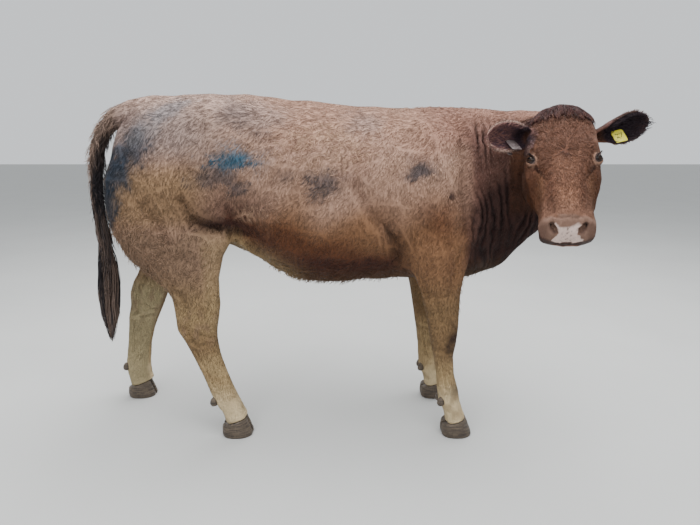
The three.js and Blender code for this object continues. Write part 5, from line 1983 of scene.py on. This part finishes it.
def horn_finish():
    """Hooves: grey-brown horn in fine level growth lines, with mud in it."""
    finish = Finish("hoof horn", Specular_IOR_Level=0.4)
    growth = finish.noise(60, 3, 0.5, (0.35, 0.35, 6.0))
    tubules = finish.noise(380, 2, 0.5, (1, 1, 0.08))
    mud = finish.noise(42, 4, 0.6)
    base = finish.blend((0.030, 0.022, 0.017), (0.115, 0.085, 0.060), finish.between(growth, 0.35, 0.68))
    base = finish.blend(base, (0.17, 0.135, 0.095), 0.35 * finish.between(tubules, 0.5, 0.75))
    finish.colour(finish.blend(base, (0.11, 0.085, 0.06), 0.6 * finish.between(mud, 0.52, 0.66)))
    finish.roughness(finish.between(mud, 0.4, 0.65, 0.42, 0.75))
    finish.bump(growth * 0.7 + tubules * 0.3, 0.0012, 0.7)
    return finish


def tag_finish(name, colour, dirt_colour, wear):
    """Moulded tag plastic: a fine satin grain, a little faded in patches, with dirt from the coat."""
    finish = Finish(name, Specular_IOR_Level=0.5)
    grain = finish.noise(1400, 2)
    dirt = finish.noise(120, 4, 0.6)
    faded = finish.blend(colour, tuple(min(1.0, c * 1.15 + 0.02) for c in colour), finish.noise(40, 2))
    finish.colour(finish.blend(faded, dirt_colour, wear * finish.between(dirt, 0.5, 0.72)))
    finish.roughness(finish.between(dirt, 0.4, 0.7, 0.38, 0.62))
    finish.bump(grain, 0.00015, 0.5)
    return finish


def print_finish():
    """The tag's digits: dark green ink."""
    finish = Finish("tag print", Specular_IOR_Level=0.3)
    grain = finish.noise(800, 2)
    finish.colour(finish.blend((0.012, 0.03, 0.018), (0.03, 0.06, 0.035), grain))
    finish.roughness(finish.between(grain, 0.3, 0.7, 0.5, 0.65))
    return finish


# ---- floor, light and camera ----
CAMERA = {"place": np.array([1.0, -2.03, 1.12]), "down": 12.5, "lens": 26.07}


def studio():
    """A pale floor, a wide soft sky light from above, and the camera."""
    reach = 40.0
    corners = [(-reach, -reach, 0), (reach, -reach, 0), (reach, reach, 0), (-reach, reach, 0)]
    floor = new_piece("floor", corners, [(0, 1, 2, 3)])
    finish = Finish("pale floor", Specular_IOR_Level=0.2)
    cloud = finish.noise(1.4)
    finish.colour(finish.blend((0.44, 0.445, 0.435), (0.50, 0.505, 0.495), cloud))
    finish.roughness(finish.between(cloud, 0.3, 0.7, 0.85, 0.95))
    finish.on(floor)
    world = bpy.data.worlds.new("studio")
    world.use_nodes = True
    sky = world.node_tree.nodes["Background"].inputs
    sky["Color"].default_value = (0.88, 0.91, 0.94, 1)
    sky["Strength"].default_value = 1.0
    bpy.context.scene.world = world
    for name, place, size, power in (
        ("key", (-0.6, -3.0, 4.4), 4.5, 210),
        ("top", (0.3, 0.6, 4.6), 5.0, 420),
    ):
        light = bpy.data.lights.new(name, "AREA")
        light.size, light.energy = size, power
        lamp = placed(name, light)
        lamp.location = place
        lamp.rotation_euler = (Vector((0, 0, 0.7)) - Vector(place)).to_track_quat("-Z", "Y").to_euler()
    lens = bpy.data.cameras.new("camera")
    lens.lens, lens.sensor_width, lens.clip_end = CAMERA["lens"], 36.0, 200.0
    camera = placed("camera", lens)
    camera.location = CAMERA["place"] + SHIFT
    camera.rotation_euler = (math.radians(90 - CAMERA["down"]), 0, 0)
    bpy.context.scene.camera = camera


# ---- the animal put together ----
def settle(pieces, finish):
    """Rides the pieces on the body and gives them their slot and finish."""
    for piece in pieces:
        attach(piece, "root")
    finish.on(*pieces)


SKIN_SHADE = 0.94  # the skin is a little darker than the hair over it
skin = make_skin()
shade_smooth(skin.data)
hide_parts(*FLESH)
hide = Hide(skin.data)
at_points = places_of(hide.points)
paint_points(skin.data, "hide", hide_colour(at_points, hide.normals) * SKIN_SHADE)
number_points(skin.data, "bare", bare_skin(at_points))
settle([skin], skin_finish())

hair = [
    *coat_pieces(hide), curls(hide, -1), curls(hide, 1), poll_hair(hide), brow_curls(hide),
    ear_hair(hide), rim_hair(hide), loose_hair(hide), lashes(),
]
settle(hair, coat_finish())
switch = switch_hair()
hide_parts("tail_switch")
settle([switch], switch_finish())

settle([eyeball("eye_right", 1), eyeball("eye_left", -1)], eye_finish())
settle(lid_rims(), rim_finish())
settle(hooves(), horn_finish())
settle([ear_tag("left")], tag_finish("yellow tag", (0.62, 0.56, 0.03), (0.16, 0.13, 0.05), 0.7))
settle([ear_tag("right")], tag_finish("dull tag", (0.105, 0.08, 0.08), (0.30, 0.26, 0.24), 0.6))
settle([tag_digits("left", "27", 0.028)], print_finish())

studio()
